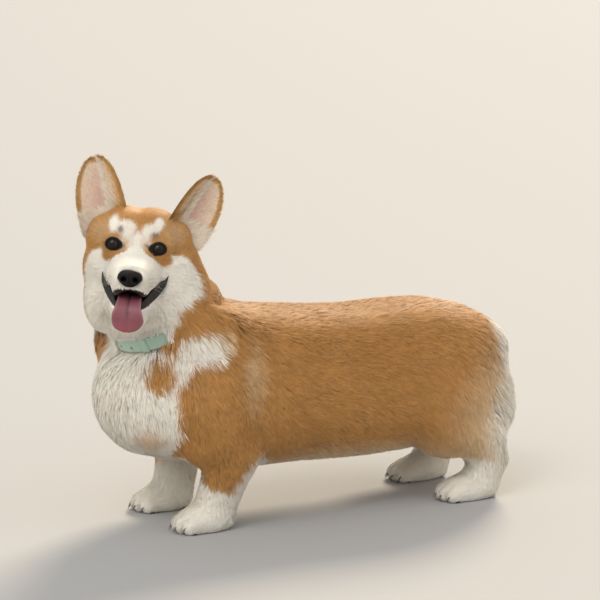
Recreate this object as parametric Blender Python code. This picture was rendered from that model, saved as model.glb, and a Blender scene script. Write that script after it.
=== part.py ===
"""Pembroke Welsh corgi, life size, standing square with its head turned to its left.

Metres, +Z up. The dog faces -Y and its left side is +X. The solids reach out to the tips of the coat.
The flesh is one blended body, parted with thin flat cuts into head, jaw, neck, trunk, legs and paws.
The ears, eyes, nose, tongue, tail and collar are pieces of their own.
"""

import math

import bmesh
import bpy
import numpy as np
from mathutils import Matrix, Vector

# Driving dimensions, in metres
BODY_HALF_WIDTH = 0.104
PAW_X = 0.060
FRONT_PAW_Y = -0.158
HIND_PAW_Y = 0.205
GAP = 0.0003
BLEND_VOXEL = 0.004
BODY_TRIANGLES = 3000
HEAD_TRIANGLES_OF_WHOLE = 6100

# The head's own frame: midway between the eyes, with the same axes as the body before it turns
EYES_MIDDLE = Vector((0.050, -0.246, 0.3447))
HEAD_TURN = math.radians(62.5)
HEAD_LIFT = math.radians(3)
HEAD_TILT = math.radians(4.5)

EAR_HALF_WIDTH = 0.0290
EAR_HOLLOW = 0.0170
EAR_WALL = 0.0042
EAR_ROOT = 0.15
EAR_LEVELS = 8
EAR_STEPS = 6

EYE_RADIUS = 0.0105
MOUTH_HALF_WIDTH = 0.0385
EYE_X = 0.0262
EYE_Y = 0.0005
EYE_DROP = 0.0009

# Colours and finishes of the plain materials: colour, roughness
FINISHES = {
    "red_coat": ((0.52, 0.27, 0.10), 0.75),
    "white_coat": ((0.80, 0.74, 0.66), 0.75),
    "eye": ((0.035, 0.020, 0.012), 0.08),
    "nose": ((0.018, 0.014, 0.013), 0.45),
    "tongue": ((0.52, 0.18, 0.20), 0.35),
    "collar": ((0.42, 0.60, 0.50), 0.60),
}


def head_matrix():
    """Turns a point of the head's own frame into the body's: tilt about the muzzle, then lift, then turn."""
    turn = Matrix.Rotation(HEAD_TURN, 4, "Z")
    lift = Matrix.Rotation(-HEAD_LIFT, 4, "X")
    tilt = Matrix.Rotation(HEAD_TILT, 4, "Y")
    return Matrix.Translation(EYES_MIDDLE) @ turn @ lift @ tilt


HEAD = head_matrix()


def clear_scene():
    for obj in list(bpy.data.objects):
        bpy.data.objects.remove(obj, do_unlink=True)


def finish_material(name):
    """One Principled material for each finish, made once."""
    if name in bpy.data.materials:
        return bpy.data.materials[name]
    material = bpy.data.materials.new(name)
    material.use_nodes = True
    shader = material.node_tree.nodes["Principled BSDF"]
    colour, roughness = FINISHES[name]
    shader.inputs["Base Color"].default_value = (*colour, 1.0)
    shader.inputs["Roughness"].default_value = roughness
    shader.inputs["Metallic"].default_value = 0.0
    material.diffuse_color = (*colour, 1.0)
    return material


def add_object(name, mesh, finish):
    obj = bpy.data.objects.new(name, mesh)
    bpy.context.scene.collection.objects.link(obj)
    obj.data.materials.clear()
    obj.data.materials.append(finish_material(finish))
    return obj


def mesh_of(bm, name):
    bmesh.ops.recalc_face_normals(bm, faces=bm.faces)
    mesh = bpy.data.meshes.new(name)
    bm.to_mesh(mesh)
    bm.free()
    return mesh


def ellipsoid(bm, centre, radii, matrix=None, turn=0.0, rings=14):
    """An ellipsoid with these three radii, pitched by turn about X, placed at centre."""
    placed = (
        Matrix.Translation(Vector(centre))
        @ Matrix.Rotation(turn, 4, "X")
        @ Matrix.Diagonal((*radii, 1.0))
    )
    bmesh.ops.create_uvsphere(
        bm,
        u_segments=2 * rings,
        v_segments=rings,
        radius=1.0,
        matrix=(matrix or Matrix.Identity(4)) @ placed,
    )


def pair(bm, centre, radii, matrix=None, turn=0.0):
    """The same ellipsoid on both sides of the middle plane."""
    for side in (-1, 1):
        ellipsoid(bm, (side * centre[0], centre[1], centre[2]), radii, matrix, turn)


def loft(bm, stations, matrix=None, sides=28, power=2.2):
    """A closed tube through stations (centre, half width, half depth).

    Each ring is a superellipse square to the path, with its width kept level, and the ends are filled.
    """
    matrix = matrix or Matrix.Identity(4)
    centres = [Vector(centre) for centre, _, _ in stations]
    rings = []
    for index, (centre, half_width, half_depth) in enumerate(stations):
        before = centres[max(index - 1, 0)]
        after = centres[min(index + 1, len(centres) - 1)]
        along = (after - before).normalized()
        across = Vector((1, 0, 0))
        across = (across - along * across.dot(along)).normalized()
        third = along.cross(across)
        ring = []
        for step in range(sides):
            angle = 2 * math.pi * step / sides
            c, s = math.cos(angle), math.sin(angle)
            x = half_width * math.copysign(abs(c) ** (2 / power), c)
            z = half_depth * math.copysign(abs(s) ** (2 / power), s)
            ring.append(bm.verts.new(matrix @ (Vector(centre) + across * x + third * z)))
        rings.append(ring)
    for first, second in zip(rings, rings[1:]):
        for step in range(sides):
            after = (step + 1) % sides
            bm.faces.new((first[step], first[after], second[after], second[step]))
    bm.faces.new(rings[0])
    bm.faces.new(list(reversed(rings[-1])))


def add_trunk(bm):
    """Chest, barrel and rump as one long loft from the breastbone to the buttocks."""
    w = BODY_HALF_WIDTH
    stations = [
        ((0, -0.268, 0.176), 0.20 * w, 0.018),
        ((0, -0.256, 0.173), 0.48 * w, 0.048),
        ((0, -0.232, 0.170), 0.75 * w, 0.072),
        ((0, -0.192, 0.168), 0.94 * w, 0.087),
        ((0, -0.140, 0.164), 1.02 * w, 0.098),
        ((0, -0.080, 0.160), 1.04 * w, 0.100),
        ((0, -0.010, 0.156), 1.02 * w, 0.096),
        ((0, 0.060, 0.154), 1.00 * w, 0.095),
        ((0, 0.120, 0.157), 1.01 * w, 0.094),
        ((0, 0.170, 0.164), 1.02 * w, 0.087),
        ((0, 0.212, 0.160), 0.95 * w, 0.078),
        ((0, 0.242, 0.152), 0.78 * w, 0.064),
        ((0, 0.261, 0.142), 0.45 * w, 0.040),
    ]
    loft(bm, stations, power=2.3)


def add_coat_masses(bm):
    """The full places of the coat: breast, withers, shoulders, thighs and the long hair behind them."""
    ellipsoid(bm, (0, -0.219, 0.156), (0.081, 0.057, 0.070))
    ellipsoid(bm, (-0.052, -0.207, 0.222), (0.047, 0.051, 0.062))
    ellipsoid(bm, (0.058, -0.165, 0.232), (0.040, 0.056, 0.050))
    ellipsoid(bm, (0, -0.120, 0.215), (0.080, 0.070, 0.054))
    pair(bm, (0.074, -0.155, 0.150), (0.040, 0.062, 0.078))
    pair(bm, (0.066, 0.170, 0.138), (0.042, 0.076, 0.084))
    pair(bm, (0.050, 0.212, 0.126), (0.046, 0.056, 0.080))


def add_neck(bm):
    """The neck and its ruff, rising from the shoulders and turning with the head."""
    stations = [
        ((0.000, -0.135, 0.165), 0.092, 0.086),
        ((0.001, -0.172, 0.215), 0.088, 0.079),
        ((0.004, -0.195, 0.258), 0.078, 0.070),
        ((0.014, -0.208, 0.296), 0.071, 0.064),
        ((0.018, -0.214, 0.330), 0.056, 0.056),
    ]
    loft(bm, stations, power=2.0)


def add_head(bm):
    """Skull, brow, cheeks with their ruff, muzzle, lower jaw and throat, in the head's own frame."""
    pair(bm, (0.016, 0.042, 0.006), (0.036, 0.049, 0.039), HEAD)
    ellipsoid(bm, (0, 0.014, -0.002), (0.026, 0.026, 0.022), HEAD)
    pair(bm, (0.024, 0.014, 0.016), (0.015, 0.017, 0.012), HEAD)
    pair(bm, (0.043, 0.042, 0.004), (0.021, 0.024, 0.028), HEAD)
    pair(bm, (0.029, 0.040, -0.028), (0.030, 0.042, 0.028), HEAD)
    pair(bm, (0.036, 0.056, -0.030), (0.031, 0.042, 0.038), HEAD)
    pair(bm, (0.036, 0.056, -0.067), (0.0270, 0.044, 0.045), HEAD)
    ellipsoid(bm, (0, 0.034, -0.074), (0.046, 0.046, 0.031), HEAD)
    muzzle = [
        ((0, 0.020, -0.0230), 0.0370, 0.0270),
        ((0, -0.004, -0.0250), 0.0335, 0.0230),
        ((0, -0.020, -0.0275), 0.0300, 0.0205),
        ((0, -0.045, -0.0305), 0.0258, 0.0178),
        ((0, -0.062, -0.0315), 0.0222, 0.0155),
        ((0, -0.074, -0.0320), 0.0158, 0.0118),
    ]
    loft(bm, muzzle, HEAD, power=2.4)
    jaw = [
        ((0, 0.020, -0.0600), 0.0400, 0.0290),
        ((0, -0.005, -0.0660), 0.0350, 0.0260),
        ((0, -0.020, -0.0710), 0.0300, 0.0205),
        ((0, -0.035, -0.0765), 0.0252, 0.0165),
        ((0, -0.048, -0.0800), 0.0205, 0.0130),
        ((0, -0.057, -0.0815), 0.0140, 0.0085),
    ]
    loft(bm, jaw, HEAD, power=2.4)


def add_front_leg(bm, side):
    """Upper arm, forearm and pastern, close in under the chest, and the paw with its four toes."""
    x = side * PAW_X
    y = FRONT_PAW_Y
    stations = [
        ((0.80 * x, y + 0.030, 0.160), 0.026, 0.030),
        ((1.22 * x, y + 0.028, 0.120), 0.032, 0.044),
        ((1.26 * x, y + 0.022, 0.088), 0.029, 0.036),
        ((1.10 * x, y + 0.014, 0.056), 0.0240, 0.0275),
        ((1.03 * x, y + 0.008, 0.032), 0.0235, 0.0265),
        ((1.02 * x, y + 0.002, 0.010), 0.0245, 0.0300),
    ]
    loft(bm, stations, power=2.1)
    add_paw(bm, 1.02 * x, y - 0.008, 0.026)


def add_hind_leg(bm, side):
    """Second thigh, hock and upright rear pastern, and the paw with its four toes."""
    x = side * PAW_X
    y = HIND_PAW_Y
    stations = [
        ((0.80 * x, y - 0.030, 0.150), 0.030, 0.050),
        ((1.12 * x, y - 0.026, 0.115), 0.036, 0.060),
        ((1.20 * x, y - 0.010, 0.090), 0.030, 0.044),
        ((1.18 * x, y + 0.012, 0.072), 0.0250, 0.034),
        ((1.10 * x, y + 0.020, 0.048), 0.0215, 0.0260),
        ((1.06 * x, y + 0.012, 0.026), 0.0215, 0.0260),
        ((1.04 * x, y + 0.004, 0.008), 0.0225, 0.0290),
    ]
    loft(bm, stations, power=2.1)
    add_paw(bm, 1.04 * x, y - 0.010, 0.0245)


def add_paw(bm, x, y, half_width):
    """A rounded paw with four toes in an arc, the middle two foremost."""
    ellipsoid(bm, (x, y, 0.012), (half_width, 0.036, 0.021))
    for place in (-1.5, -0.5, 0.5, 1.5):
        toe_y = y - 0.030 + 0.006 * abs(abs(place) - 0.5)
        ellipsoid(
            bm, (x + place * 0.47 * half_width, toe_y, 0.009), (0.0080, 0.0130, 0.0120)
        )


def smooth_whole():
    """Joins every mass, blends them through a voxel skin, smooths it and takes off what is below the floor."""
    bm = bmesh.new()
    add_trunk(bm)
    add_coat_masses(bm)
    add_neck(bm)
    add_head(bm)
    for side in (-1, 1):
        add_front_leg(bm, side)
        add_hind_leg(bm, side)
    whole = add_object("whole", mesh_of(bm, "whole"), "red_coat")
    blend = whole.modifiers.new("blend", "REMESH")
    blend.mode = "VOXEL"
    blend.voxel_size = BLEND_VOXEL
    soften = whole.modifiers.new("soften", "SMOOTH")
    soften.factor = 0.5
    soften.iterations = 7
    settle(whole)
    return whole


def settle(obj):
    """Replaces the object's mesh by what its modifiers make, and removes them."""
    graph = bpy.context.evaluated_depsgraph_get()
    graph.update()
    made = bpy.data.meshes.new_from_object(obj.evaluated_get(graph))
    obj.modifiers.clear()
    old = obj.data
    obj.data = made
    bpy.data.meshes.remove(old)


def copy_of(obj, name):
    twin = bpy.data.objects.new(name, obj.data.copy())
    bpy.context.scene.collection.objects.link(twin)
    return twin


def thin_out(obj, triangles):
    """Collapses edges until about this many triangles are left."""
    faces = 2 * len(obj.data.polygons)
    collapse = obj.modifiers.new("collapse", "DECIMATE")
    collapse.ratio = min(1.0, triangles / faces)
    settle(obj)


def boolean(obj, cutter, operation):
    tool = obj.modifiers.new("cut", "BOOLEAN")
    tool.operation = operation
    tool.solver = "EXACT"
    tool.object = cutter
    settle(obj)


def box_object(name, low, high, matrix=None):
    """A helper box between two corners."""
    bm = bmesh.new()
    low, high = Vector(low), Vector(high)
    placed = Matrix.Translation((low + high) / 2) @ Matrix.Diagonal((*(high - low), 1.0))
    bmesh.ops.create_cube(bm, size=1.0, matrix=(matrix or Matrix.Identity(4)) @ placed)
    return add_object(name, mesh_of(bm, name), "red_coat")


def prism(name, plane, profile, start, end, matrix=None):
    """A helper with this outline in the XZ or YZ plane, carried from start to end along the third axis."""
    matrix = matrix or Matrix.Identity(4)
    bm = bmesh.new()
    rings = []
    for third in (start, end):
        points = [(third, u, v) if plane == "YZ" else (u, third, v) for u, v in profile]
        rings.append([bm.verts.new(matrix @ Vector(point)) for point in points])
    count = len(profile)
    for step in range(count):
        after = (step + 1) % count
        bm.faces.new((rings[0][step], rings[0][after], rings[1][after], rings[1][step]))
    bm.faces.new(rings[0])
    bm.faces.new(rings[1])
    return add_object(name, mesh_of(bm, name), "red_coat")


def remove(*objects):
    for obj in objects:
        bpy.data.objects.remove(obj, do_unlink=True)


def keep_main_body(obj):
    """Drops every loose crumb that a cut leaves, keeping the largest body."""
    bm = bmesh.new()
    bm.from_mesh(obj.data)
    unseen = set(bm.verts)
    bodies = []
    while unseen:
        body, edge_of_search = set(), [unseen.pop()]
        while edge_of_search:
            vert = edge_of_search.pop()
            body.add(vert)
            for edge in vert.link_edges:
                other = edge.other_vert(vert)
                if other in unseen:
                    unseen.discard(other)
                    edge_of_search.append(other)
        bodies.append(body)
    bodies.sort(key=len)
    crumbs = [vert for body in bodies[:-1] for vert in body]
    bmesh.ops.delete(bm, geom=crumbs, context="VERTS")
    bm.to_mesh(obj.data)
    bm.free()


def take(rest, name, region, finish):
    """Parts what lies inside the region from rest, as a node of its own with a thin gap round it."""
    node = copy_of(rest, name)
    boolean(node, region, "INTERSECT")
    room = grown(region, "room", 1.7 * GAP)
    boolean(rest, room, "DIFFERENCE")
    remove(room, region)
    keep_main_body(node)
    set_finish(node, finish)
    return node


def set_finish(obj, finish):
    obj.data.materials.clear()
    obj.data.materials.append(finish_material(finish))


def grown(obj, name, by):
    """A helper copy with every point moved out along its normal by this much."""
    twin = copy_of(obj, name)
    mesh = twin.data
    normals = [vertex.normal.copy() for vertex in mesh.vertices]
    for vertex, normal in zip(mesh.vertices, normals):
        vertex.co += normal * by
    return twin


def mouth_wedge():
    """The space of the open mouth seen from the side, carried right across the muzzle."""
    profile = [
        (0.0070, -0.0365),
        (-0.0040, -0.0380),
        (-0.0180, -0.0415),
        (-0.0300, -0.0440),
        (-0.0450, -0.0465),
        (-0.0950, -0.0455),
        (-0.0950, -0.0700),
        (-0.0600, -0.0680),
        (-0.0480, -0.0660),
        (-0.0300, -0.0605),
        (-0.0120, -0.0510),
        (-0.0020, -0.0435),
    ]
    return prism("mouth_wedge", "YZ", profile, -MOUTH_HALF_WIDTH, MOUTH_HALF_WIDTH, HEAD)


def ear(side):
    """An upright ear: crescent rings from inside the head to a rounded tip, hollow towards the front."""
    if side < 0:
        name, base, tip, turned_out = "ear_right", (-0.0355, 0.032, 0.008), (-0.0575, 0.036, 0.0985), 4
    else:
        name, base, tip, turned_out = "ear_left", (0.0480, 0.032, 0.006), (0.0830, 0.038, 0.0850), 32
    base, tip = Vector(base), Vector(tip)
    up = (tip - base).normalized()
    facing = Matrix.Rotation(side * math.radians(turned_out), 3, "Z") @ Vector((0, -1, 0))
    facing = (facing - up * facing.dot(up)).normalized()
    across = up.cross(facing).normalized()
    bm = bmesh.new()
    rings = []
    for level in range(EAR_LEVELS + 1):
        height = -EAR_ROOT + (1 + EAR_ROOT) * (1 - (1 - level / EAR_LEVELS) ** 1.4)
        half = EAR_HALF_WIDTH * ear_taper(height)
        hollow = EAR_HOLLOW * (1 - max(height, 0.0)) ** 0.8 + 0.0015
        centre = base.lerp(tip, height) - across * (side * -0.003 * math.sin(math.pi * max(height, 0)))
        inner, outer = [], []
        for step in range(EAR_STEPS + 1):
            place = -1 + 2 * step / EAR_STEPS
            bowl = 1 - place * place
            point = centre + across * (half * place) - facing * (hollow * bowl)
            wall = EAR_WALL * (0.45 + 0.55 * bowl) * (1 - 0.35 * max(height, 0.0))
            inner.append(point + facing * (wall / 2))
            outer.append(point - facing * (wall / 2))
        rings.append([bm.verts.new(HEAD @ point) for point in inner + outer[::-1]])
    count = 2 * (EAR_STEPS + 1)
    for first, second in zip(rings, rings[1:]):
        for step in range(count):
            after = (step + 1) % count
            bm.faces.new((first[step], first[after], second[after], second[step]))
    for ring in (rings[0], rings[-1]):
        for step in range(EAR_STEPS):
            bm.faces.new((ring[step], ring[step + 1], ring[count - 2 - step], ring[count - 1 - step]))
    return add_object(name, mesh_of(bm, name), "red_coat")


def ear_taper(height):
    """The ear's half width as a share of its widest: nearly even low down, then round to the tip."""
    if height <= 0:
        return 1.0 + 0.25 * height
    return max((1 - min(height, 1.0) ** 3.3) ** 0.66, 0.11)


def eyeball(side):
    bm = bmesh.new()
    centre = (side * EYE_X, EYE_Y, -side * EYE_DROP)
    ellipsoid(bm, centre, (EYE_RADIUS,) * 3, HEAD, rings=8)
    name = "eye_left" if side > 0 else "eye_right"
    return add_object(name, mesh_of(bm, name), "eye")


def nose_pad():
    """The bare nose: a rounded block, wider above than below, on the end of the muzzle."""
    stations = [
        ((0, -0.0640, -0.0270), 0.0120, 0.0085),
        ((0, -0.0700, -0.0275), 0.0142, 0.0108),
        ((0, -0.0770, -0.0285), 0.0142, 0.0108),
        ((0, -0.0815, -0.0295), 0.0118, 0.0088),
        ((0, -0.0835, -0.0300), 0.0070, 0.0050),
    ]
    bm = bmesh.new()
    loft(bm, stations, HEAD, sides=20, power=2.5)
    return add_object("nose", mesh_of(bm, "nose"), "nose")


def tongue():
    """A broad flat tongue, out over the lower lip and hanging, widest near its round end."""
    stations = [
        ((0, 0.000, -0.0440), 0.0120, 0.0025),
        ((0, -0.030, -0.0525), 0.0132, 0.0028),
        ((0, -0.048, -0.0565), 0.0138, 0.0030),
        ((0, -0.0605, -0.0620), 0.0143, 0.0030),
        ((0, -0.0655, -0.0690), 0.0160, 0.0028),
        ((0, -0.0665, -0.0770), 0.0183, 0.0026),
        ((0, -0.0655, -0.0845), 0.0170, 0.0024),
        ((0, -0.0640, -0.0895), 0.0120, 0.0020),
        ((0, -0.0635, -0.0920), 0.0060, 0.0014),
    ]
    bm = bmesh.new()
    loft(bm, stations, HEAD, sides=20, power=2.6)
    return add_object("tongue", mesh_of(bm, "tongue"), "tongue")


# The collar's plane: its centre, and its normal, leaning forward as the neck does
COLLAR_CENTRE = Vector((0.003, -0.188, 0.2505))
COLLAR_LEAN = math.radians(26)
COLLAR_RADII = (0.0700, 0.0640)
COLLAR_HEIGHT = 0.017
COLLAR_THICK = 0.0030

# Where the body is parted
HEAD_CUT_SLANT = math.radians(51)
NECK_CUT_SLANT = math.radians(22)
CHEST_END = -0.066
BARREL_END = 0.070
PAW_TOP = 0.026
SHIN_TOP = 0.058


def collar_band(name, inner_extra, outer_extra, height):
    """A band round the neck with an oblong section, leaning with the neck."""
    placed = Matrix.Translation(COLLAR_CENTRE) @ Matrix.Rotation(COLLAR_LEAN, 4, "X")
    sides = 36
    section = [
        (-inner_extra, -height / 2),
        (COLLAR_THICK + outer_extra, -height / 2),
        (COLLAR_THICK + outer_extra, height / 2),
        (-inner_extra, height / 2),
    ]
    bm = bmesh.new()
    rings = []
    for step in range(sides):
        angle = 2 * math.pi * step / sides
        ring = []
        for out, up in section:
            x = (COLLAR_RADII[0] + out) * math.cos(angle)
            y = (COLLAR_RADII[1] + out) * math.sin(angle)
            ring.append(bm.verts.new(placed @ Vector((x, y, up))))
        rings.append(ring)
    for first, second in zip(rings, rings[1:] + rings[:1]):
        for corner in range(4):
            after = (corner + 1) % 4
            bm.faces.new((first[corner], first[after], second[after], second[corner]))
    return add_object(name, mesh_of(bm, name), "collar")


def tail():
    """The short bob of the tail, close against the top of the rump."""
    stations = [
        ((0, 0.222, 0.216), 0.0190, 0.0140),
        ((0, 0.244, 0.212), 0.0190, 0.0150),
        ((0, 0.262, 0.200), 0.0160, 0.0140),
        ((0, 0.272, 0.188), 0.0080, 0.0080),
    ]
    bm = bmesh.new()
    loft(bm, stations, sides=16, power=2.0)
    return add_object("tail", mesh_of(bm, "tail"), "red_coat")


def hollow_for(flesh, piece, by=GAP):
    """Takes from the flesh the room that a set-in piece needs, with the thin gap round it."""
    room = grown(piece, "room", by)
    boolean(flesh, room, "DIFFERENCE")
    remove(room)
    keep_main_body(flesh)


def stand_on(piece, flesh):
    """Cuts a piece back to the flesh that it grows from, with the thin gap between them."""
    ground = grown(flesh, "ground", GAP)
    boolean(piece, ground, "DIFFERENCE")
    remove(ground)
    keep_main_body(piece)


def head_region():
    """Everything above the slanting plane from the nape to under the chin."""
    placed = HEAD @ Matrix.Translation(Vector((0, 0.034, -0.058))) @ Matrix.Rotation(HEAD_CUT_SLANT, 4, "X")
    return box_object("head_region", (-0.14, -0.16, 0), (0.14, 0.16, 0.25), placed)


def neck_region():
    """What lies between the head and the slanting plane from the withers to the breastbone."""
    placed = Matrix.Translation(Vector((0, -0.188, 0.222))) @ Matrix.Rotation(NECK_CUT_SLANT, 4, "X")
    return box_object("neck_region", (-0.14, -0.13, 0), (0.14, 0.11, 0.22), placed)


def jaw_region():
    """The lower jaw: below a line that runs out through the open mouth."""
    profile = [(0.004, -0.0378), (-0.012, -0.0450), (-0.095, -0.0560), (-0.095, -0.16), (0.004, -0.16)]
    return prism("jaw_region", "YZ", profile, -0.046, 0.046, HEAD)


def leg_region(side, profile, near, far):
    """The room of one leg seen from the front, mirrored for the right side."""
    points = [(side * x, z) for x, z in profile]
    return prism("leg_region", "XZ", points, near, far)


def part_legs(rest):
    """Paws, lower legs and thighs taken one by one from each corner of the body."""
    for side, word in ((-1, "right"), (1, "left")):
        foot = [(GAP, -0.02), (0.14, -0.02), (0.14, PAW_TOP), (GAP, PAW_TOP)]
        shin = [(GAP, PAW_TOP + GAP), (0.14, PAW_TOP + GAP), (0.14, SHIN_TOP), (GAP, SHIN_TOP)]
        foreleg = [(0.034, 0), (0.14, 0), (0.14, 0.160), (0.112, 0.146), (0.034, 0.062)]
        thigh = [(GAP, 0), (0.14, 0), (0.14, 0.170), (0.114, 0.158), (GAP, 0.084)]
        take(rest, f"paw_front_{word}", leg_region(side, foot, -0.30, -0.05), "white_coat")
        take(rest, f"leg_front_{word}", leg_region(side, foreleg, -0.30, -0.066), "red_coat")
        take(rest, f"paw_hind_{word}", leg_region(side, foot, 0.05, 0.32), "white_coat")
        take(rest, f"leg_hind_{word}", leg_region(side, shin, 0.05, 0.32), "white_coat")
        take(rest, f"thigh_{word}", leg_region(side, thigh, 0.070, 0.32), "red_coat")


def part_trunk(rest):
    """The neck, then chest and barrel across the trunk; what is left is the rump."""
    neck = take(rest, "neck", neck_region(), "red_coat")
    take(rest, "chest", box_object("region", (-0.2, -0.40, -0.1), (0.2, CHEST_END, 0.40)), "white_coat")
    take(rest, "barrel", box_object("region", (-0.2, -0.40, -0.1), (0.2, BARREL_END, 0.40)), "red_coat")
    rest.name = "rump"
    keep_main_body(rest)
    return neck


def part_head(fine):
    """Head and lower jaw, with the mouth open between them, from the finer copy of the flesh."""
    head = take(fine, "head", head_region(), "red_coat")
    remove(fine)
    wedge = mouth_wedge()
    boolean(head, wedge, "DIFFERENCE")
    remove(wedge)
    jaw = take(head, "lower_jaw", jaw_region(), "white_coat")
    keep_main_body(head)
    return head, jaw


def set_in_place(head, jaw, neck, rump):
    """Eyes, nose and tongue sunk into the flesh, ears and tail stood on it, and the collar in its groove."""
    for side in (-1, 1):
        stand_on(ear(side), head)
        hollow_for(head, eyeball(side))
    hollow_for(head, nose_pad())
    licking = tongue()
    hollow_for(head, licking)
    hollow_for(jaw, licking)
    groove = collar_band("groove", 0.0004, 0.012, COLLAR_HEIGHT + 0.0008)
    for flesh in (neck, head, jaw):
        boolean(flesh, groove, "DIFFERENCE")
        keep_main_body(flesh)
    remove(groove)
    collar_band("collar", 0.0, 0.0, COLLAR_HEIGHT)
    stand_on(tail(), rump)


def centre_on_floor():
    """Moves everything so that the middle of its outline is over the origin and the soles are at z = 0."""
    low, high = np.full(3, 1e9), np.full(3, -1e9)
    for obj in bpy.data.objects:
        points = np.empty(3 * len(obj.data.vertices))
        obj.data.vertices.foreach_get("co", points)
        points = points.reshape(-1, 3)
        low, high = np.minimum(low, points.min(0)), np.maximum(high, points.max(0))
    shift = Vector((-(low[0] + high[0]) / 2, -(low[1] + high[1]) / 2, -low[2]))
    for obj in bpy.data.objects:
        obj.data.transform(Matrix.Translation(shift))


def two_tone(obj, is_white):
    """Gives the faces whose middle answers to is_white the white coat, and the others the red."""
    set_finish(obj, "red_coat")
    obj.data.materials.append(finish_material("white_coat"))
    for face in obj.data.polygons:
        face.material_index = 1 if is_white(face.center) else 0


def mark_coat():
    """The broad markings: white breast and throat, white cheeks, muzzle and blaze, all else red."""
    into_head = HEAD.inverted()

    def white_face(point):
        x, y, z = into_head @ point
        return z < -0.016 + 0.25 * y or y < -0.02 and abs(x) < 0.024

    def white_breast(point):
        return point.y < -0.225 + 0.5 * abs(point.x) or point.z < 0.085

    two_tone(bpy.data.objects["head"], white_face)
    two_tone(bpy.data.objects["neck"], white_breast)
    two_tone(bpy.data.objects["chest"], white_breast)
    two_tone(bpy.data.objects["barrel"], lambda point: point.z < 0.075)


def drop_flaps(bm):
    """Takes away two triangles that lie back to back on the same three corners."""
    seen, flaps = {}, []
    for face in bm.faces:
        corners = frozenset(vert.index for vert in face.verts)
        if corners in seen:
            flaps += [face, seen[corners]]
        seen[corners] = face
    bmesh.ops.delete(bm, geom=list(set(flaps)), context="FACES")


def finish_mesh(obj):
    """Clean triangles with plain smooth shading, and edges sharper than thirty five degrees kept."""
    bm = bmesh.new()
    bm.from_mesh(obj.data)
    bmesh.ops.remove_doubles(bm, verts=bm.verts, dist=0.000002)
    bmesh.ops.dissolve_degenerate(bm, edges=bm.edges, dist=0.000002)
    bmesh.ops.triangulate(bm, faces=bm.faces)
    bm.verts.index_update()
    drop_flaps(bm)
    bmesh.ops.recalc_face_normals(bm, faces=bm.faces)
    bm.to_mesh(obj.data)
    bm.free()
    obj.data.shade_smooth()
    obj.data.set_sharp_from_angle(angle=math.radians(35))


def main():
    clear_scene()
    whole = smooth_whole()
    fine = copy_of(whole, "fine")
    thin_out(fine, HEAD_TRIANGLES_OF_WHOLE)
    thin_out(whole, BODY_TRIANGLES)
    floor = box_object("floor", (-1, -1, -0.5), (1, 1, 0.0))
    boolean(whole, floor, "DIFFERENCE")
    remove(floor)
    head, jaw = part_head(fine)
    room = head_region()
    gap_room = grown(room, "gap_room", 1.7 * GAP)
    boolean(whole, gap_room, "DIFFERENCE")
    remove(room, gap_room)
    part_legs(whole)
    neck = part_trunk(whole)
    set_in_place(head, jaw, neck, whole)
    for obj in bpy.data.objects:
        finish_mesh(obj)
    mark_coat()
    centre_on_floor()


main()
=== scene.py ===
"""Looks of the life-size Pembroke Welsh corgi, red and white, standing with its head turned to its left.

Metres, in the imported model's frame: +Z up, the dog faces -Y and its left side is +X.
One skin replaces the nodes of flesh and lies inside them by the depth of the coat. The coat is joined
mesh tufts that follow the lie of the hair. Eyes, lid rims, nose, lips, tongue, collar, claws and whiskers
are pieces of their own. Places in the tables below are in millimetres.
"""

import math

import bmesh
import bpy
import numpy as np
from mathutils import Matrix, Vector


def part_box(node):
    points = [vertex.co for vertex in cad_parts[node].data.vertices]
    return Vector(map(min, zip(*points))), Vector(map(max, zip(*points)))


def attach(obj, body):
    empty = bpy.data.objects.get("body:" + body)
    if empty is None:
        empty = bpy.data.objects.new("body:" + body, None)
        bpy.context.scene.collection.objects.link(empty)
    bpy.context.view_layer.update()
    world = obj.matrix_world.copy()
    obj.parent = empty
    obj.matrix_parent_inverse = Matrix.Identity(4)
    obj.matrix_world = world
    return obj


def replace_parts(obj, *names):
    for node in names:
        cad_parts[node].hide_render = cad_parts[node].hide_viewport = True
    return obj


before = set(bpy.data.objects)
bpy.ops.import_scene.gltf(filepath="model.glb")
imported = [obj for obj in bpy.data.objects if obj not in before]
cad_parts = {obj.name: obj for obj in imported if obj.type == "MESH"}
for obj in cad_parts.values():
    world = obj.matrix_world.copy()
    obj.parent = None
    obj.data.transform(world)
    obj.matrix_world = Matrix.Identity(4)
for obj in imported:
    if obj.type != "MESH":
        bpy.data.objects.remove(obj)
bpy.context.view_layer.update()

MM = 0.001
SEED = 20

# The head's own frame: midway between the eyes, x to the dog's left, -y forward, z up
HEAD_TURN = 62.5
HEAD_LIFT = 3.0
HEAD_TILT = 4.5
EYES_MIDDLE = (50.0, -246.0, 344.7)
EYE_OUT = 26.2
EYE_BACK = 0.5
EYE_DROP = 0.9
EYE_RADIUS = 10.5

# The view of the photograph
VIEW_AZIMUTH = 63.0
VIEW_ELEVATION = 9.0
VIEW_DISTANCE = 3.2
VIEW_TARGET_RIGHT = -0.006
VIEW_TARGET_HEIGHT = 0.257
SENSOR = 36.0
PIXELS_PER_METRE = 815.0
FRAME_PIXELS = 600.0
VIEW_LENS = PIXELS_PER_METRE * VIEW_DISTANCE / FRAME_PIXELS * SENSOR

# The skin
FLESH = (
    "head", "lower_jaw", "neck", "chest", "barrel", "rump", "tail",
    "leg_front_left", "leg_front_right", "thigh_left", "thigh_right",
    "leg_hind_left", "leg_hind_right", "paw_front_left", "paw_front_right",
    "paw_hind_left", "paw_hind_right",
)
SWELL = 0.7 * MM
COARSE = 3.4 * MM
FINE = 2.8 * MM
DOME_RADIUS = 11.6

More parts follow.
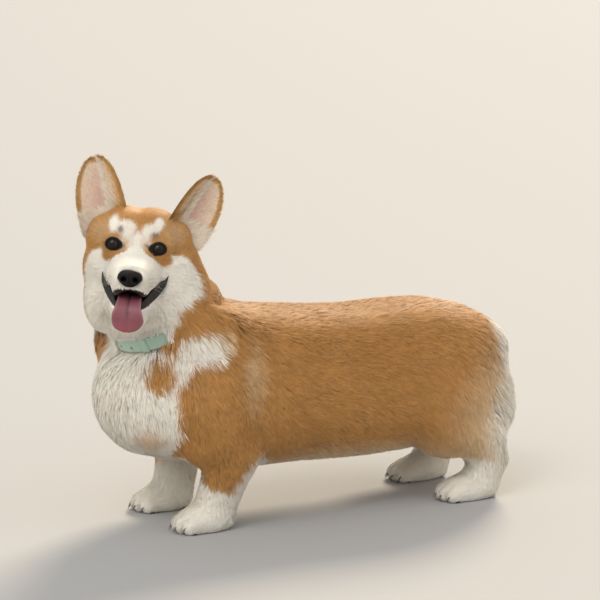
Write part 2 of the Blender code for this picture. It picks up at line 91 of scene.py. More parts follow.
# The coat
COAT_TOTAL = 385000
PATCH = 0.003
ROOT_BELOW = 0.5 * MM
LONG_HAIR = 27.0
CLUMP_TURN = 9.0
TUFT_TURN = 7.0
WAVE_TURN = 9.0
STRAYS_ABOVE = 0.985
TIP_CLUMPING = 0.36
MIDDLE_CLUMPING = 0.15
PIECE_TUFTS = {"short": 66000, "long": 39900}
ABOVE_FLOOR = 0.6 * MM

# The collar: centre, radii, lean, band
COLLAR_CENTRE = (3.0, -188.0, 250.5)
COLLAR_RADII = (70.0, 64.0)
COLLAR_LEAN = 26.0
COLLAR_HEIGHT = 17.0
COLLAR_THICK = 3.0
COLLAR_SHOWS = (-97.0, -31.0)
NECK_FOLD = (54.0, -106.0, 248.0)

# The paws in the body's frame: how far across and along, and half their width
PAWS = ((61.2, -166.0, 26.0), (62.4, 195.0, 24.5))
TOE_PLACES = (-1.5, -0.5, 0.5, 1.5)
TOE_APART = 0.47

# Colours of the coat and of the bare parts, linear red, green and blue
PAINTS = {
    "red": (0.520, 0.260, 0.078),
    "deep_red": (0.360, 0.155, 0.038),
    "gold": (0.640, 0.370, 0.125),
    "cream": (0.780, 0.620, 0.400),
    "white": (0.915, 0.865, 0.775),
    # brow: dark brown for the brow spots, and also the painted shade between the toes
    "brow": (0.170, 0.105, 0.075),
    "black": (0.012, 0.009, 0.008),
    # mouth: the mouth's dark lining, darkened to near black as painted shade
    "mouth": (0.028, 0.011, 0.010),
    "ear_fuzz": (0.840, 0.680, 0.520),
    "ear_hair": (0.880, 0.760, 0.630),
    "ear_pink": (0.700, 0.450, 0.390),
    "pad": (0.030, 0.024, 0.022),
}


def turn(axis, degrees):
    """The 3 by 3 matrix that turns a column by this angle about axis 0, 1 or 2."""
    a = math.radians(degrees)
    c, s = math.cos(a), math.sin(a)
    i, j = [(1, 2), (2, 0), (0, 1)][axis]
    m = np.eye(3)
    m[i, i] = m[j, j] = c
    m[i, j], m[j, i] = -s, s
    return m


def unit(v):
    return v / np.maximum(np.linalg.norm(v, axis=-1, keepdims=True), 1e-12)


def smooth(x, start=0.0, over=1.0):
    """0 up to start, 1 from start + over, and 3s^2 - 2s^3 of the share s between."""
    s = np.clip((x - start) / over, 0.0, 1.0)
    return s * s * (3.0 - 2.0 * s)


def fade(x, start, over):
    """1 up to start, falling to 0 over this much."""
    return 1 - smooth(x, start, over)


def bell(*shares):
    """exp of minus the sum of the shares' squares."""
    return np.exp(-sum(share**2 for share in shares))


def bent(x, power):
    """The size of x to this power, with the sign of x."""
    return np.sign(x) * np.abs(x) ** power


def circle(count):
    """This many angles once round."""
    return np.linspace(0, 2 * np.pi, count, endpoint=False)


def grid(rows, columns):
    return np.meshgrid(rows, columns, indexing="ij")


def away(polar, around):
    """Unit directions at these angles from the third axis and round it."""
    flat = np.sin(polar)
    return np.stack([flat * np.cos(around), flat * np.sin(around), np.cos(polar)], axis=-1)


def mixed(one, other, share):
    """one where the share is 0 and other where it is 1."""
    share = np.asarray(share, float)[..., None]
    return one * (1 - share) + np.array(other) * share


def node_middle(node):
    low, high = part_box(node)
    return (np.array(low) + np.array(high)) / 2.0


HEAD_AXES = turn(2, HEAD_TURN) @ turn(0, -HEAD_LIFT) @ turn(1, HEAD_TILT)
EYES_NOW = (node_middle("eye_left") + node_middle("eye_right")) / 2.0
SHIFT = EYES_NOW - np.array(EYES_MIDDLE) * MM - HEAD_AXES @ np.array((0.0, EYE_BACK, 0.0)) * MM
HEAD_ORIGIN = np.array(EYES_MIDDLE) * MM + SHIFT
COLLAR_AXES = turn(0, COLLAR_LEAN)


def from_head(places):
    """Millimetres in the head's frame, as metres in the model's."""
    return np.asarray(places, float) * MM @ HEAD_AXES.T + HEAD_ORIGIN


def to_head(points):
    """Metres in the model's frame, as millimetres in the head's."""
    return (points - HEAD_ORIGIN) @ HEAD_AXES / MM


def from_body(places):
    """Millimetres in the body's frame, as metres in the model's."""
    return np.asarray(places, float) * MM + SHIFT


def to_body(points):
    return (points - SHIFT) / MM


def left_side(body):
    """Places in the body's frame, those of the right side mirrored to the left."""
    return np.abs(body * (1, 0, 0)) + body * (0, 1, 1)


def ripple(points, length, seed):
    """Smooth noise near -1 to 1: the mean of 12 sine waves of about this length in seeded directions."""
    waves = np.random.default_rng(seed)
    direction = unit(waves.normal(size=(12, 3)))
    pitch = 2.0 * np.pi / (length * waves.uniform(0.7, 1.6, 12))
    phase = waves.uniform(0.0, 2.0 * np.pi, 12)
    return np.sin(points @ (direction * pitch[:, None]).T + phase).mean(axis=1) * 2.4


# Meshes from arrays


def mesh_from(name, points, faces):
    """A mesh from an array of points and an array of faces that all have as many corners."""
    mesh = bpy.data.meshes.new(name)
    mesh.vertices.add(len(points))
    mesh.vertices.foreach_set("co", np.asarray(points, np.float32).ravel())
    mesh.loops.add(faces.size)
    mesh.loops.foreach_set("vertex_index", np.asarray(faces, np.int32).ravel())
    mesh.polygons.add(len(faces))
    mesh.polygons.foreach_set("loop_start", np.arange(0, faces.size, faces.shape[1], dtype=np.int32))
    mesh.polygons.foreach_set("use_smooth", np.ones(len(faces), bool))
    mesh.update(calc_edges=True)
    return mesh


def object_from(name, mesh, made=None):
    obj = bpy.data.objects.new(name, mesh)
    bpy.context.scene.collection.objects.link(obj)
    if made:
        mesh.materials.clear()
        mesh.materials.append(made)
    return obj


def read_from(items, field, width, kind=np.float32):
    """One field of all these items of a mesh, in rows of this many values."""
    values = np.empty(len(items) * width, kind)
    items.foreach_get(field, values)
    return values.reshape(-1, width)


def points_of(mesh):
    return read_from(mesh.vertices, "co", 3).astype(float)


def normals_of(mesh):
    return read_from(mesh.vertex_normals, "vector", 3).astype(float)


def triangles_of(mesh):
    mesh.calc_loop_triangles()
    return read_from(mesh.loop_triangles, "vertices", 3, np.int32)


def edges_of(mesh):
    return read_from(mesh.edges, "vertices", 2, np.int32)


def set_points(mesh, points):
    mesh.vertices.foreach_set("co", np.asarray(points, np.float32).ravel())
    mesh.update()


def neighbour_mean(values, edges, count):
    """The mean over each vertex's neighbours, by summing both ends of every edge."""
    total = np.zeros((count, values.shape[1]))
    number = np.bincount(edges.ravel(), minlength=count).astype(float)
    for k in range(values.shape[1]):
        total[:, k] = np.bincount(edges[:, 0], values[edges[:, 1], k], count)
        total[:, k] += np.bincount(edges[:, 1], values[edges[:, 0], k], count)
    return total / np.maximum(number, 1.0)[:, None]


def relax(points, edges, rounds, share=0.5, keep=0.53):
    """Smooths points without shrinking them: each round moves to the neighbours' mean and part back."""
    for _ in range(rounds):
        points = points + share * (neighbour_mean(points, edges, len(points)) - points)
        points = points - keep * (neighbour_mean(points, edges, len(points)) - points)
    return points


def applied(obj):
    """The object's mesh with its modifiers applied, as a new mesh."""
    bpy.context.view_layer.update()
    graph = bpy.context.evaluated_depsgraph_get()
    return bpy.data.meshes.new_from_object(obj.evaluated_get(graph))


def evened(mesh, size):
    """One closed surface round everything in the mesh, by a voxel remesh of this size."""
    obj = object_from("evened", mesh)
    even = obj.modifiers.new("even", "REMESH")
    even.mode = "VOXEL"
    even.voxel_size = size
    even.use_smooth_shade = True
    new = applied(obj)
    bpy.data.objects.remove(obj)
    return new


def grid_faces(rows, columns):
    """Quads of a grid of rows by columns, closed round the columns."""
    r, c = grid(np.arange(rows - 1), np.arange(columns))
    a = r * columns + c
    b = r * columns + (c + 1) % columns
    return np.stack([a, b, b + columns, a + columns], axis=-1).reshape(-1, 4)


def halved(quads):
    return np.concatenate([quads[:, [0, 1, 2]], quads[:, [0, 2, 3]]])


def closed_tube(rings, ends):
    """Points and triangles of a tube of rings of points, closed at each end by one more point."""
    rows, columns = rings.shape[:2]
    c = np.arange(columns)
    n = (c + 1) % columns
    base = (rows - 1) * columns
    start = np.stack([np.full(columns, rows * columns), n, c], axis=1)
    end = np.stack([np.full(columns, rows * columns + 1), base + c, base + n], axis=1)
    points = np.concatenate([rings.reshape(-1, 3), ends])
    return points, np.concatenate([halved(grid_faces(rows, columns)), start, end])


def outward(mesh):
    """Faces turned to point out of the closed mesh."""
    bm = bmesh.new()
    bm.from_mesh(mesh)
    bmesh.ops.recalc_face_normals(bm, faces=bm.faces)
    bm.to_mesh(mesh)
    bm.free()
    return mesh


def rounded_path(points, steps):
    """A smooth curve through the points: uniform cubic pieces whose tangents are half the chord beside."""
    p = np.asarray(points, float)
    ends = np.concatenate([[2 * p[0] - p[1]], p, [2 * p[-1] - p[-2]]])
    t = np.linspace(0.0, len(p) - 1.0, steps)
    k = np.minimum(t.astype(int), len(p) - 2)
    s = (t - k)[:, None]
    a, b, c, d = ends[k], ends[k + 1], ends[k + 2], ends[k + 3]
    return 0.5 * (2 * b + (c - a) * s + (2 * a - 5 * b + 4 * c - d) * s**2 + (3 * b - a - 3 * c + d) * s**3)


def add_piece(name, mesh, made):
    """A closed piece on the root body."""
    piece = object_from(name, outward(mesh), made)
    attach(piece, "root")
    return piece


# Materials


def add_relief(nodes, links, shader, kind, scale, depth, strength):
    """Fine relief from a noise or a cell pattern on object coordinates."""
    place = nodes.new("ShaderNodeTexCoord")
    pattern = nodes.new("ShaderNodeTexVoronoi" if kind == "cells" else "ShaderNodeTexNoise")
    pattern.inputs["Scale"].default_value = scale
    pattern.inputs["Detail"].default_value = 0.0 if kind == "cells" else 3.0
    bump = nodes.new("ShaderNodeBump")
    bump.inputs["Distance"].default_value = depth
    bump.inputs["Strength"].default_value = strength
    links.new(place.outputs["Object"], pattern.inputs["Vector"])
    links.new(pattern.outputs[0], bump.inputs["Height"])
    links.new(bump.outputs["Normal"], shader.inputs["Normal"])


def material(name, roughness, sockets=None, painted=None, relief=None):
    """A shader with these values, its colour from the mesh's attribute where it is painted, and with
    relief: its kind, scale, depth and strength."""
    made = bpy.data.materials.new(name)
    made.use_nodes = True
    nodes, links = made.node_tree.nodes, made.node_tree.links
    shader = nodes["Principled BSDF"]
    for socket, value in {"Roughness": roughness, **(sockets or {})}.items():
        shader.inputs[socket].default_value = value
    if painted:
        read = nodes.new("ShaderNodeAttribute")
        read.attribute_name = painted
        links.new(read.outputs["Color"], shader.inputs["Base Color"])
    if relief:
        add_relief(nodes, links, shader, *relief)
    return made


def paint_mesh(mesh, name, colours):
    """A colour attribute on the mesh's points."""
    layer = mesh.color_attributes.new(name, "FLOAT_COLOR", "POINT")
    rgba = np.ones((len(mesh.vertices), 4), np.float32)
    rgba[:, :3] = colours
    layer.data.foreach_set("color", rgba.ravel())


# The lie of the coat at named places. Each row: place, direction of the hair, depth from skin to tips,
# length, width, tufts for each square millimetre. Both sides are alike.
HEAD_COAT = {
    "nose bridge": ((0, -62, -12), (0, 1, 0.15), 0.8, 3.4, 0.42, 3.6),
    "bridge": ((0, -40, -8), (0, 1, 0.2), 0.9, 3.8, 0.42, 3.6),
    "between the eyes": ((0, -10, 4), (0, 0.7, 0.8), 1.2, 4.8, 0.45, 3.4),
    "brow": ((18, -3, 20), (0.25, 0.6, 0.7), 1.5, 5.6, 0.45, 3.2),
    "forehead": ((0, 15, 36), (0, 0.9, 0.35), 2.0, 7.5, 0.55, 2.6),
    "forehead side": ((30, 18, 30), (0.45, 0.8, 0.2), 2.0, 7.5, 0.55, 2.6),
    "crown": ((0, 40, 40), (0, 1, -0.1), 3.5, 12.0, 0.70, 1.8),
    "poll": ((0, 70, 25), (0, 0.8, -0.6), 5.5, 20.0, 0.85, 1.0),
    "temple": ((45, 18, 0), (0.35, 0.9, -0.1), 2.2, 8.0, 0.55, 2.4),
    "behind the eye": ((38, 5, -4), (0.5, 0.85, -0.05), 1.4, 5.5, 0.45, 3.2),
    "under the eye": ((30, -8, -16), (0.45, 0.7, -0.45), 1.2, 5.0, 0.45, 3.4),
    "muzzle side": ((20, -45, -25), (0.15, 0.95, -0.2), 1.0, 3.8, 0.42, 3.6),
    "upper lip": ((16, -55, -42), (0.1, 0.8, -0.5), 1.0, 4.2, 0.42, 3.6),
    "lip middle": ((0, -70, -43), (0, 0.2, -1), 0.8, 3.4, 0.42, 3.6),
    "mouth corner": ((38, -5, -38), (0.6, 0.6, -0.5), 2.0, 7.0, 0.50, 2.6),
    "cheek": ((52, 5, -32), (0.6, 0.65, -0.45), 3.6, 12.0, 0.60, 2.0),
    "back of the cheek": ((72, 18, -40), (0.5, 0.6, -0.6), 9.0, 24.0, 0.75, 1.15),
    "jowl": ((55, -5, -70), (0.45, 0.35, -0.8), 8.0, 23.0, 0.70, 1.2),
    "jaw side": ((25, -25, -75), (0.35, 0.3, -0.85), 2.6, 9.0, 0.60, 2.2),
    "lower lip": ((15, -45, -68), (0.2, 0.5, -0.8), 1.0, 4.6, 0.45, 3.0),
    "chin": ((0, -45, -80), (0, 0.5, -0.85), 1.6, 8.0, 0.55, 2.4),
    "throat": ((0, -10, -105), (0, 0.1, -1), 6.0, 22.0, 0.75, 1.1),
    "throat side": ((40, 5, -110), (0.35, 0.2, -0.9), 10.0, 30.0, 0.85, 0.85),
}
BODY_COAT = {
    "crest": ((0, -135, 300), (0, 0.8, -0.5), 9.0, 28.0, 0.95, 0.75),
    "neck side": ((75, -150, 255), (0.15, 0.6, -0.8), 13.0, 34.0, 1.00, 0.65),
    "neck front": ((60, -215, 235), (0.3, 0.1, -0.95), 12.0, 32.0, 0.95, 0.7),
    "chest front": ((0, -255, 180), (0, 0, -1), 10.0, 32.0, 0.95, 0.65),
    "chest side": ((60, -225, 170), (0.3, 0.15, -0.95), 10.0, 30.0, 0.95, 0.65),
    "breastbone": ((0, -240, 110), (0, 0.35, -0.95), 10.0, 32.0, 0.95, 0.65),
    "brisket": ((0, -170, 75), (0, 0.9, -0.5), 7.0, 24.0, 1.00, 0.5),
    "withers": ((0, -70, 262), (0, 1, -0.1), 9.0, 26.0, 0.85, 0.95),
    "shoulder": ((95, -140, 200), (0.05, 0.55, -0.85), 7.0, 22.0, 0.80, 1.0),
    "upper arm": ((100, -140, 140), (0, 0.4, -0.9), 5.0, 18.0, 0.80, 1.0),
    "back": ((0, 20, 250), (0, 1, 0), 7.0, 25.0, 0.85, 0.95),
    "loin": ((0, 110, 250), (0, 1, -0.05), 7.0, 25.0, 0.85, 0.95),
    "ribs": ((98, -20, 180), (0, 0.95, -0.35), 6.0, 24.0, 0.85, 0.95),
    "flank": ((98, 80, 170), (0, 0.95, -0.4), 6.0, 25.0, 0.85, 0.95),
    "belly side": ((80, 20, 95), (-0.1, 0.85, -0.55), 10.0, 30.0, 1.10, 0.5),
    "belly": ((0, 20, 62), (0, 0.9, -0.2), 8.0, 26.0, 1.20, 0.35),
    "croup": ((0, 190, 240), (0, 0.95, -0.35), 8.0, 26.0, 0.90, 0.85),
    "thigh": ((100, 170, 150), (0, 0.55, -0.85), 7.0, 26.0, 0.90, 0.85),
    "breeches": ((70, 240, 150), (0.1, 0.75, -0.75), 16.0, 42.0, 1.10, 0.6),
    "low breeches": ((60, 240, 90), (0.05, 0.6, -0.85), 12.0, 36.0, 1.10, 0.55),
    "tail": ((0, 262, 200), (0, 0.8, -0.6), 8.0, 28.0, 1.10, 0.6),
    "forearm front": ((60, -190, 90), (0, 0, -1), 3.0, 13.0, 0.85, 0.8),
    "forearm back": ((60, -125, 90), (0, 0.5, -0.9), 6.0, 20.0, 1.00, 0.7),
    "pastern": ((60, -160, 45), (0, 0.05, -1), 2.5, 10.0, 0.75, 0.9),
    "front paw": ((60, -178, 20), (0, -0.8, -0.6), 1.5, 6.5, 0.60, 1.1),
    "shin": ((60, 205, 75), (0, 0.2, -1), 4.0, 16.0, 0.95, 0.7),
    "hock": ((60, 215, 40), (0, 0.15, -1), 2.5, 11.0, 0.80, 0.8),
    "hind paw": ((60, 185, 20), (0, -0.8, -0.6), 1.5, 6.5, 0.60, 1.1),
}


def coat_places():
    """The tables' rows and their mirror images, as places and directions in the model's frame and sizes."""
    places, lies, sizes = [], [], []
    for table, place_in, axes in ((HEAD_COAT, from_head, HEAD_AXES), (BODY_COAT, from_body, np.eye(3))):
        for place, lie, *size in table.values():
            for side in (1, -1) if place[0] else (1,):
                flip = np.array((side, 1.0, 1.0))
                places.append(place_in(np.array(place) * flip))
                lies.append(axes @ (np.array(lie, float) * flip))
                sizes.append(size)
    return np.array(places), unit(np.array(lies)), np.array(sizes)


COAT_PLACES, COAT_LIES, COAT_SIZES = coat_places()


def coat_at(points):
    """Lie and sizes of the coat at each point: the rows' mean, weighted by 1 / (distance^2 + 8 mm^2)^2."""
    lie = np.empty((len(points), 3))
    size = np.empty((len(points), 4))
    for k in range(0, len(points), 40000):
        part = slice(k, k + 40000)
        gap = ((points[part, None, :] - COAT_PLACES[None]) ** 2).sum(axis=2)
        weight = 1.0 / (gap + (8 * MM) ** 2) ** 2
        weight /= weight.sum(axis=1, keepdims=True)
        lie[part] = weight @ COAT_LIES
        size[part] = weight @ COAT_SIZES
    return unit(lie), size


def toe_gaps(side):
    """Middle of each gap between the toes of one side, in the body's frame."""
    return [(side * across + gap * TOE_APART * half, along - 36.0, 9.0)
            for across, along, half in PAWS for gap in (-1, 0, 1)]


# The markings, with some painted shade laid over the coat like them. Each row: frame, centre, radii, paint,
# strength, softness of the edge, turn about x if any.
MARKS = (
    # the body, from the base colour outwards
    ("body", (0, 40, 268), (80, 300, 46), "deep_red", 0.30, 0.6),
    ("body", (0, 40, 35), (150, 290, 100), "cream", 0.85, 0.45),
    ("body", (0, 300, 115), (230, 205, 150), "cream", 0.90, 0.45),
    ("body", (0, 300, 115), (190, 135, 125), "white", 0.95, 0.25),
    ("body", (98, -127, 212), (42, 22, 84), "cream", 0.45, 0.9),
    ("both", (98, 30, 205), (70, 165, 62), "deep_red", 0.38, 0.8),
    ("both", (60, 200, 30), (48, 80, 50), "white", 1.0, 0.2),
    ("both", (60, -165, 22), (50, 60, 45), "white", 1.0, 0.12),
    ("both", (62, -118, 70), (50, 34, 50), "white", 0.9, 0.25),
    ("body", (0, -257, 160), (121, 72, 128), "white", 1.0, 0.12),
    ("body", (0, -190, 70), (80, 80, 40), "white", 0.9, 0.3),
    ("body", (88, -188, 234), (30, 30, 21), "white", 1.0, 0.3),
    ("body", (84, -212, 222), (24, 26, 32), "white", 1.0, 0.3),
    # painted shade: a warm tan over the lower white of the chest on the dog's left
    ("body", (60, -240, 132), (32, 34, 24), "gold", 0.55, 0.8),
    ("body", (95, -163, 250), (18, 17, 22), "cream", 0.9, 0.4),
    ("both", (54, 262, 202), (58, 60, 62), "white", 0.95, 0.35),
    # the head
    ("head", (46, 5, 18), (26, 34, 26), "cream", 0.40, 0.9),
    ("head", (-46, 5, 18), (26, 34, 26), "cream", 0.40, 0.9),
    ("head", (0, -48, -30), (40, 46, 34), "white", 1.0, 0.10),
    ("head", (0, -42, -78), (38, 34, 30), "white", 1.0, 0.12),
    ("head", (44, -4, -34), (31, 41, 29), "white", 1.0, 0.12),
    ("head", (15, -15, -80), (39, 41, 50), "white", 1.0, 0.12),
    ("head", (-46, 0, -48), (42, 42, 46), "white", 1.0, 0.12),
    ("head", (-20, -10, -98), (60, 42, 50), "white", 1.0, 0.12),
    ("head", (1, -24, -8), (13, 19, 13), "white", 1.0, 0.2),
    ("head", (1.0, -10, 4), (4.6, 12, 19), "white", 1.0, 0.35),
    ("head", (-8.5, -7, 4), (15, 14, 16), "white", 0.85, 0.6),
    ("head", (9, -7, 4), (12.5, 13, 15), "white", 0.85, 0.55),
    ("head", (-13.5, -1, 17.5), (15, 13, 13), "white", 0.92, 0.5),
    ("head", (-26, 5, 20), (7.8, 16, 19), "white", 1.0, 0.6, 8),
    ("head", (15, -1, 16), (13.5, 13, 11.5), "white", 0.92, 0.5),
    ("head", (23, 3, 25), (8, 14, 11), "white", 1.0, 0.6),
    ("head", (1.8, 8, 32), (7, 14, 15), "red", 0.95, 0.5),
    ("head", (31, -6, -11), (14.5, 15, 12.5), "red", 1.0, 0.4),
    ("head", (-27.5, -4, -9), (12, 15, 12), "red", 1.0, 0.4),
    # painted shade: the gold rows are tan shade at the inner corner of each eye; the black rows are the dark
    # skin there
    ("head", (13.5, -9, -2), (7, 10, 8), "gold", 0.8, 0.9),
    ("head", (17, -9, 0.5), (3.8, 8, 3.4), "black", 0.8, 0.7),
    ("head", (-13.5, -8, 0), (7, 10, 8), "gold", 0.8, 0.9),
    ("head", (-17.6, -8, -0.5), (3.8, 8, 3.4), "black", 0.8, 0.7),
    ("head", (-18.5, -4, 15.5), (5.5, 9, 7), "brow", 0.80, 0.8),
    ("head", (20, -5, 11), (8, 9, 5.5), "brow", 0.85, 0.8),
    ("head", (44, 11, -5), (10, 10, 1.6), "deep_red", 0.7, 0.6),
    ("head", (-42, 11, -3), (9, 10, 1.6), "deep_red", 0.7, 0.6),
    # shadows between the toes
    *(("both", gap, (2.2, 14, 13), "brow", 0.55, 0.9) for gap in toe_gaps(1)),
    # patches under the collar and behind the cheek
    ("body", (66, -228, 211), (20, 24, 25), "red", 1.0, 0.3),
    ("body", (-46, -252, 230), (24, 24, 26), "red", 0.95, 0.4),
)


def coat_colour(points):
    """The coat's colour at each point: red, with each mark laid over what is there. A mark covers a point
    by its strength times smooth((1 - |(point - centre) / radii|) / softness)."""
    body = to_body(points)
    spaces = {"head": to_head(points), "body": body, "both": left_side(body)}
    colour = np.tile(np.array(PAINTS["red"]), (len(points), 1))
    for space, centre, radii, paint, strength, edge, *lean in MARKS:
        offset = (spaces[space] - centre) @ turn(0, sum(lean)) / radii
        inside = 1.0 - np.linalg.norm(offset, axis=1)
        colour = mixed(colour, PAINTS[paint], strength * smooth(inside, 0, edge))
    return colour


# The mouth in the head's frame: the muzzle's half width, and the roof and floor of the open mouth
MUZZLE_Y = (-74, -62, -45, -20, -4, 20)
MUZZLE_HALF = (15.8, 22.2, 25.8, 30.0, 33.5, 37.0)
MOUTH_TOP_Y = (-95, -62, -45, -30, -18, -4, 7)
MOUTH_TOP_Z = (-45.5, -49.5, -53.5, -52.5, -46.0, -38.0, -34.0)
MOUTH_LOW_Y = (-95, -60, -48, -30, -12, -2, 7)
MOUTH_LOW_Z = (-70.0, -68.0, -66.0, -60.5, -51.0, -43.5, -36.5)


def in_mouth(points, above, below=2.6):
    """True for points in the open mouth, from so far above its roof to so far below its floor."""
    x, y, z = to_head(points).T
    roof = np.interp(y, MOUTH_TOP_Y, MOUTH_TOP_Z) + above
    floor = np.interp(y, MOUTH_LOW_Y, MOUTH_LOW_Z) - below
    half = np.interp(y, MUZZLE_Y, MUZZLE_HALF) - 3.0
    return (z < roof) & (z > floor) & (np.abs(x) < half) & (y < 6) & (y > -76)


# The skin


def flesh_points(node):
    """A node's surface, its doubles merged on a copy, moved out along its normals by the swell."""
    bm = bmesh.new()
    bm.from_mesh(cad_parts[node].data)
    bmesh.ops.remove_doubles(bm, verts=bm.verts, dist=0.00001)
    mesh = bpy.data.meshes.new("flesh")
    bm.to_mesh(mesh)
    bm.free()
    return points_of(mesh) + normals_of(mesh) * SWELL, triangles_of(mesh)


def ball(centre, radius, rings=24):
    """A sphere: rings by polar angle, columns by angle round."""
    polar = np.linspace(0, np.pi, rings + 1)[1:-1]
    shell, faces = closed_tube(away(*grid(polar, circle(2 * rings))), [(0, 0, 1.0), (0, 0, -1.0)])
    return shell * radius + centre, faces


def around_collar(points):
    """Degrees round the collar's axis, 0 at the dog's left and -90 at its throat."""
    local = collar_local(points)[0]
    return np.degrees(np.arctan2(local[:, 1], local[:, 0]))


def window(degrees):
    """1 within the angles where the collar shows, falling to 0 over 8 degrees at each end."""
    return smooth(degrees, COLLAR_SHOWS[0], 8) * fade(degrees, COLLAR_SHOWS[1], 8)


def groove_radii(flesh, degrees):
    """For each angle, the share of the collar's radii at which flesh stands beside the groove: the smaller
    of the greatest shares just above and just below it, evened over neighbouring angles."""
    local, share = collar_local(flesh)
    turn_of = around_collar(flesh)
    sides = []
    for sign in (1, -1):
        level = local[:, 2] * sign
        edge = (level > 9) & (level < 17) & (share < 1.45)
        apart = np.abs((turn_of[edge][None] - degrees[:, None] + 180) % 360 - 180)
        sides.append(np.where(apart < 6, share[edge][None], 0.0).max(axis=1))
    radii = np.maximum(np.minimum(*sides), 0.98)
    for _ in range(4):
        radii = (np.roll(radii, 1) + 2 * radii + np.roll(radii, -1)) / 4
    return radii


def collar_slot_fill(flesh):
    """A closed elliptic drum in the groove under the collar, out to the flesh beside it except where the
    collar shows."""
    angle = circle(72)
    degrees = (np.degrees(angle) + 180) % 360 - 180
    shows = window(degrees)
    share = groove_radii(flesh, degrees) * (1 - shows) + 0.985 * shows
    level = np.array([-0.7, -0.4, 0.0, 0.4, 0.7]) * COLLAR_HEIGHT
    h, a = grid(level, angle)
    shell = np.stack([COLLAR_RADII[0] * share * np.cos(a), COLLAR_RADII[1] * share * np.sin(a), h], axis=-1)
    shell, faces = closed_tube(shell, [(0, 0, level[0]), (0, 0, level[-1])])
    return from_collar(shell), faces


def from_collar(local):
    """Millimetres in the collar's own frame, as metres in the model's."""
    return from_body(local @ COLLAR_AXES.T + COLLAR_CENTRE)


def collar_local(points):
    """Millimetres in the collar's own frame: along its axis third, and the share of its radii."""
    local = (to_body(points) - COLLAR_CENTRE) @ COLLAR_AXES
    return local, np.hypot(local[:, 0] / COLLAR_RADII[0], local[:, 1] / COLLAR_RADII[1])


def collar_zone(points):
    """How far, from 0 to 1, a point lies in the groove that the collar leaves, for smoothing it away."""
    local, share = collar_local(points)
    near = fade(np.abs(local[:, 2]), 18, 10) * smooth(share, 0.6, 0.15)
    return (near * fade(share, 1.5, 0.2))[:, None]


def neck_crease(points):
    """How far, from 0 to 1, a point lies in the fold between neck and shoulder, full within 26 mm of its
    middle and gone at 56 mm."""
    gap = np.linalg.norm(left_side(to_body(points)) - NECK_FOLD, axis=1)
    return fade(gap, 26, 30)[:, None]


def eye_centre(side):
    return from_head((side * EYE_OUT, EYE_BACK, -side * EYE_DROP))


def joined(parts):
    """One mesh of several (points, triangles)."""
    start, points, faces = 0, [], []
    for co, tri in parts:
        points.append(co)
        faces.append(tri + start)
        start += len(co)
    return mesh_from("joined", np.concatenate(points), np.concatenate(faces))


def whole_flesh():
    """The closed outline of the flesh: the nodes, the collar's slot filled and a dome over each eye."""
    parts = [flesh_points(node) for node in FLESH]
    parts.append(collar_slot_fill(np.concatenate([points for points, _ in parts])))
    for side in (1, -1):
        parts.append(ball(eye_centre(side), DOME_RADIUS * MM))
    return evened(joined(parts), COARSE)


def inset_skin():
    """The skin: the outline smoothed, moved in by the depth of the coat, and evened again."""
    mesh = whole_flesh()
    edges = edges_of(mesh)
    points = relax(points_of(mesh), edges, 4)
    set_points(mesh, points)
    normals = normals_of(mesh)
    for _ in range(6):
        normals = unit(neighbour_mean(normals, edges, len(points)) + normals)
    depth = coat_at(points)[1][:, 0:1] * MM
    depth[in_mouth(points, 1.0, 1.0)] = 0.0
    set_points(mesh, points - normals * depth)
    mesh = evened(mesh, FINE)
    edges, points = edges_of(mesh), points_of(mesh)
    for zone, rounds in ((collar_zone(points), 30), (neck_crease(points), 100)):
        for _ in range(rounds):
            points += zone * (neighbour_mean(points, edges, len(points)) - points)
    set_points(mesh, relax(points, edges, 3))
    return mesh


# Ears: base and tip in the head's frame, and how far each is turned outwards
EARS = {
    1: ((48.0, 32.0, 6.0), (83.0, 38.0, 85.0), 32.0),
    -1: ((-35.5, 32.0, 8.0), (-57.5, 36.0, 98.5), 4.0),
}
EAR_HALF = 29.0
EAR_HOLLOW = 17.0
EAR_COAT = 1.3
EAR_THICK = 2.4
EAR_LOW = -0.14
EAR_HAIR = 8.0
INNER_FACE = 0.12


def ear_axes(side):
    """Base, rise to the tip, and unit directions: the way it faces, and across."""
    base, tip, turned_out = EARS[side]
    rise = np.array(tip) - base
    up = unit(rise)
    facing = turn(2, side * turned_out) @ np.array((0.0, -1.0, 0.0))
    facing = unit(facing - up * facing.dot(up))
    return np.array(base), rise, facing, unit(np.cross(up, facing))


def ear_half(height):
    """The ear's half width: (1 - h^3.3)^0.66 of its full one, and narrowing by 5 h below the base."""
    h = np.clip(height, 0.0, 1.0)
    return (EAR_HALF - EAR_COAT) * np.where(height <= 0, 1 + 5.0 * height, (1 - h**3.3) ** 0.66)


def ear_sway(side, height):
    return 3.0 * side * np.sin(np.pi * np.clip(height, 0.0, 1.0))


def ear_sheet(side, place, height):
    """Middle of the ear's wall, in the head's frame: a point goes along the base-to-tip line by height,
    across by place times the half width, and back by the hollow times (1 - place^2)."""
    base, rise, facing, across = ear_axes(side)
    hollow = EAR_HOLLOW * (1 - np.clip(height, 0.0, 1.0)) ** 0.8 + 1.0
    point = base + rise * np.minimum(height, 0.985)[..., None]
    point = point + across * (ear_half(height) * place + ear_sway(side, height))[..., None]
    return point - facing * (hollow * (1 - place**2))[..., None]


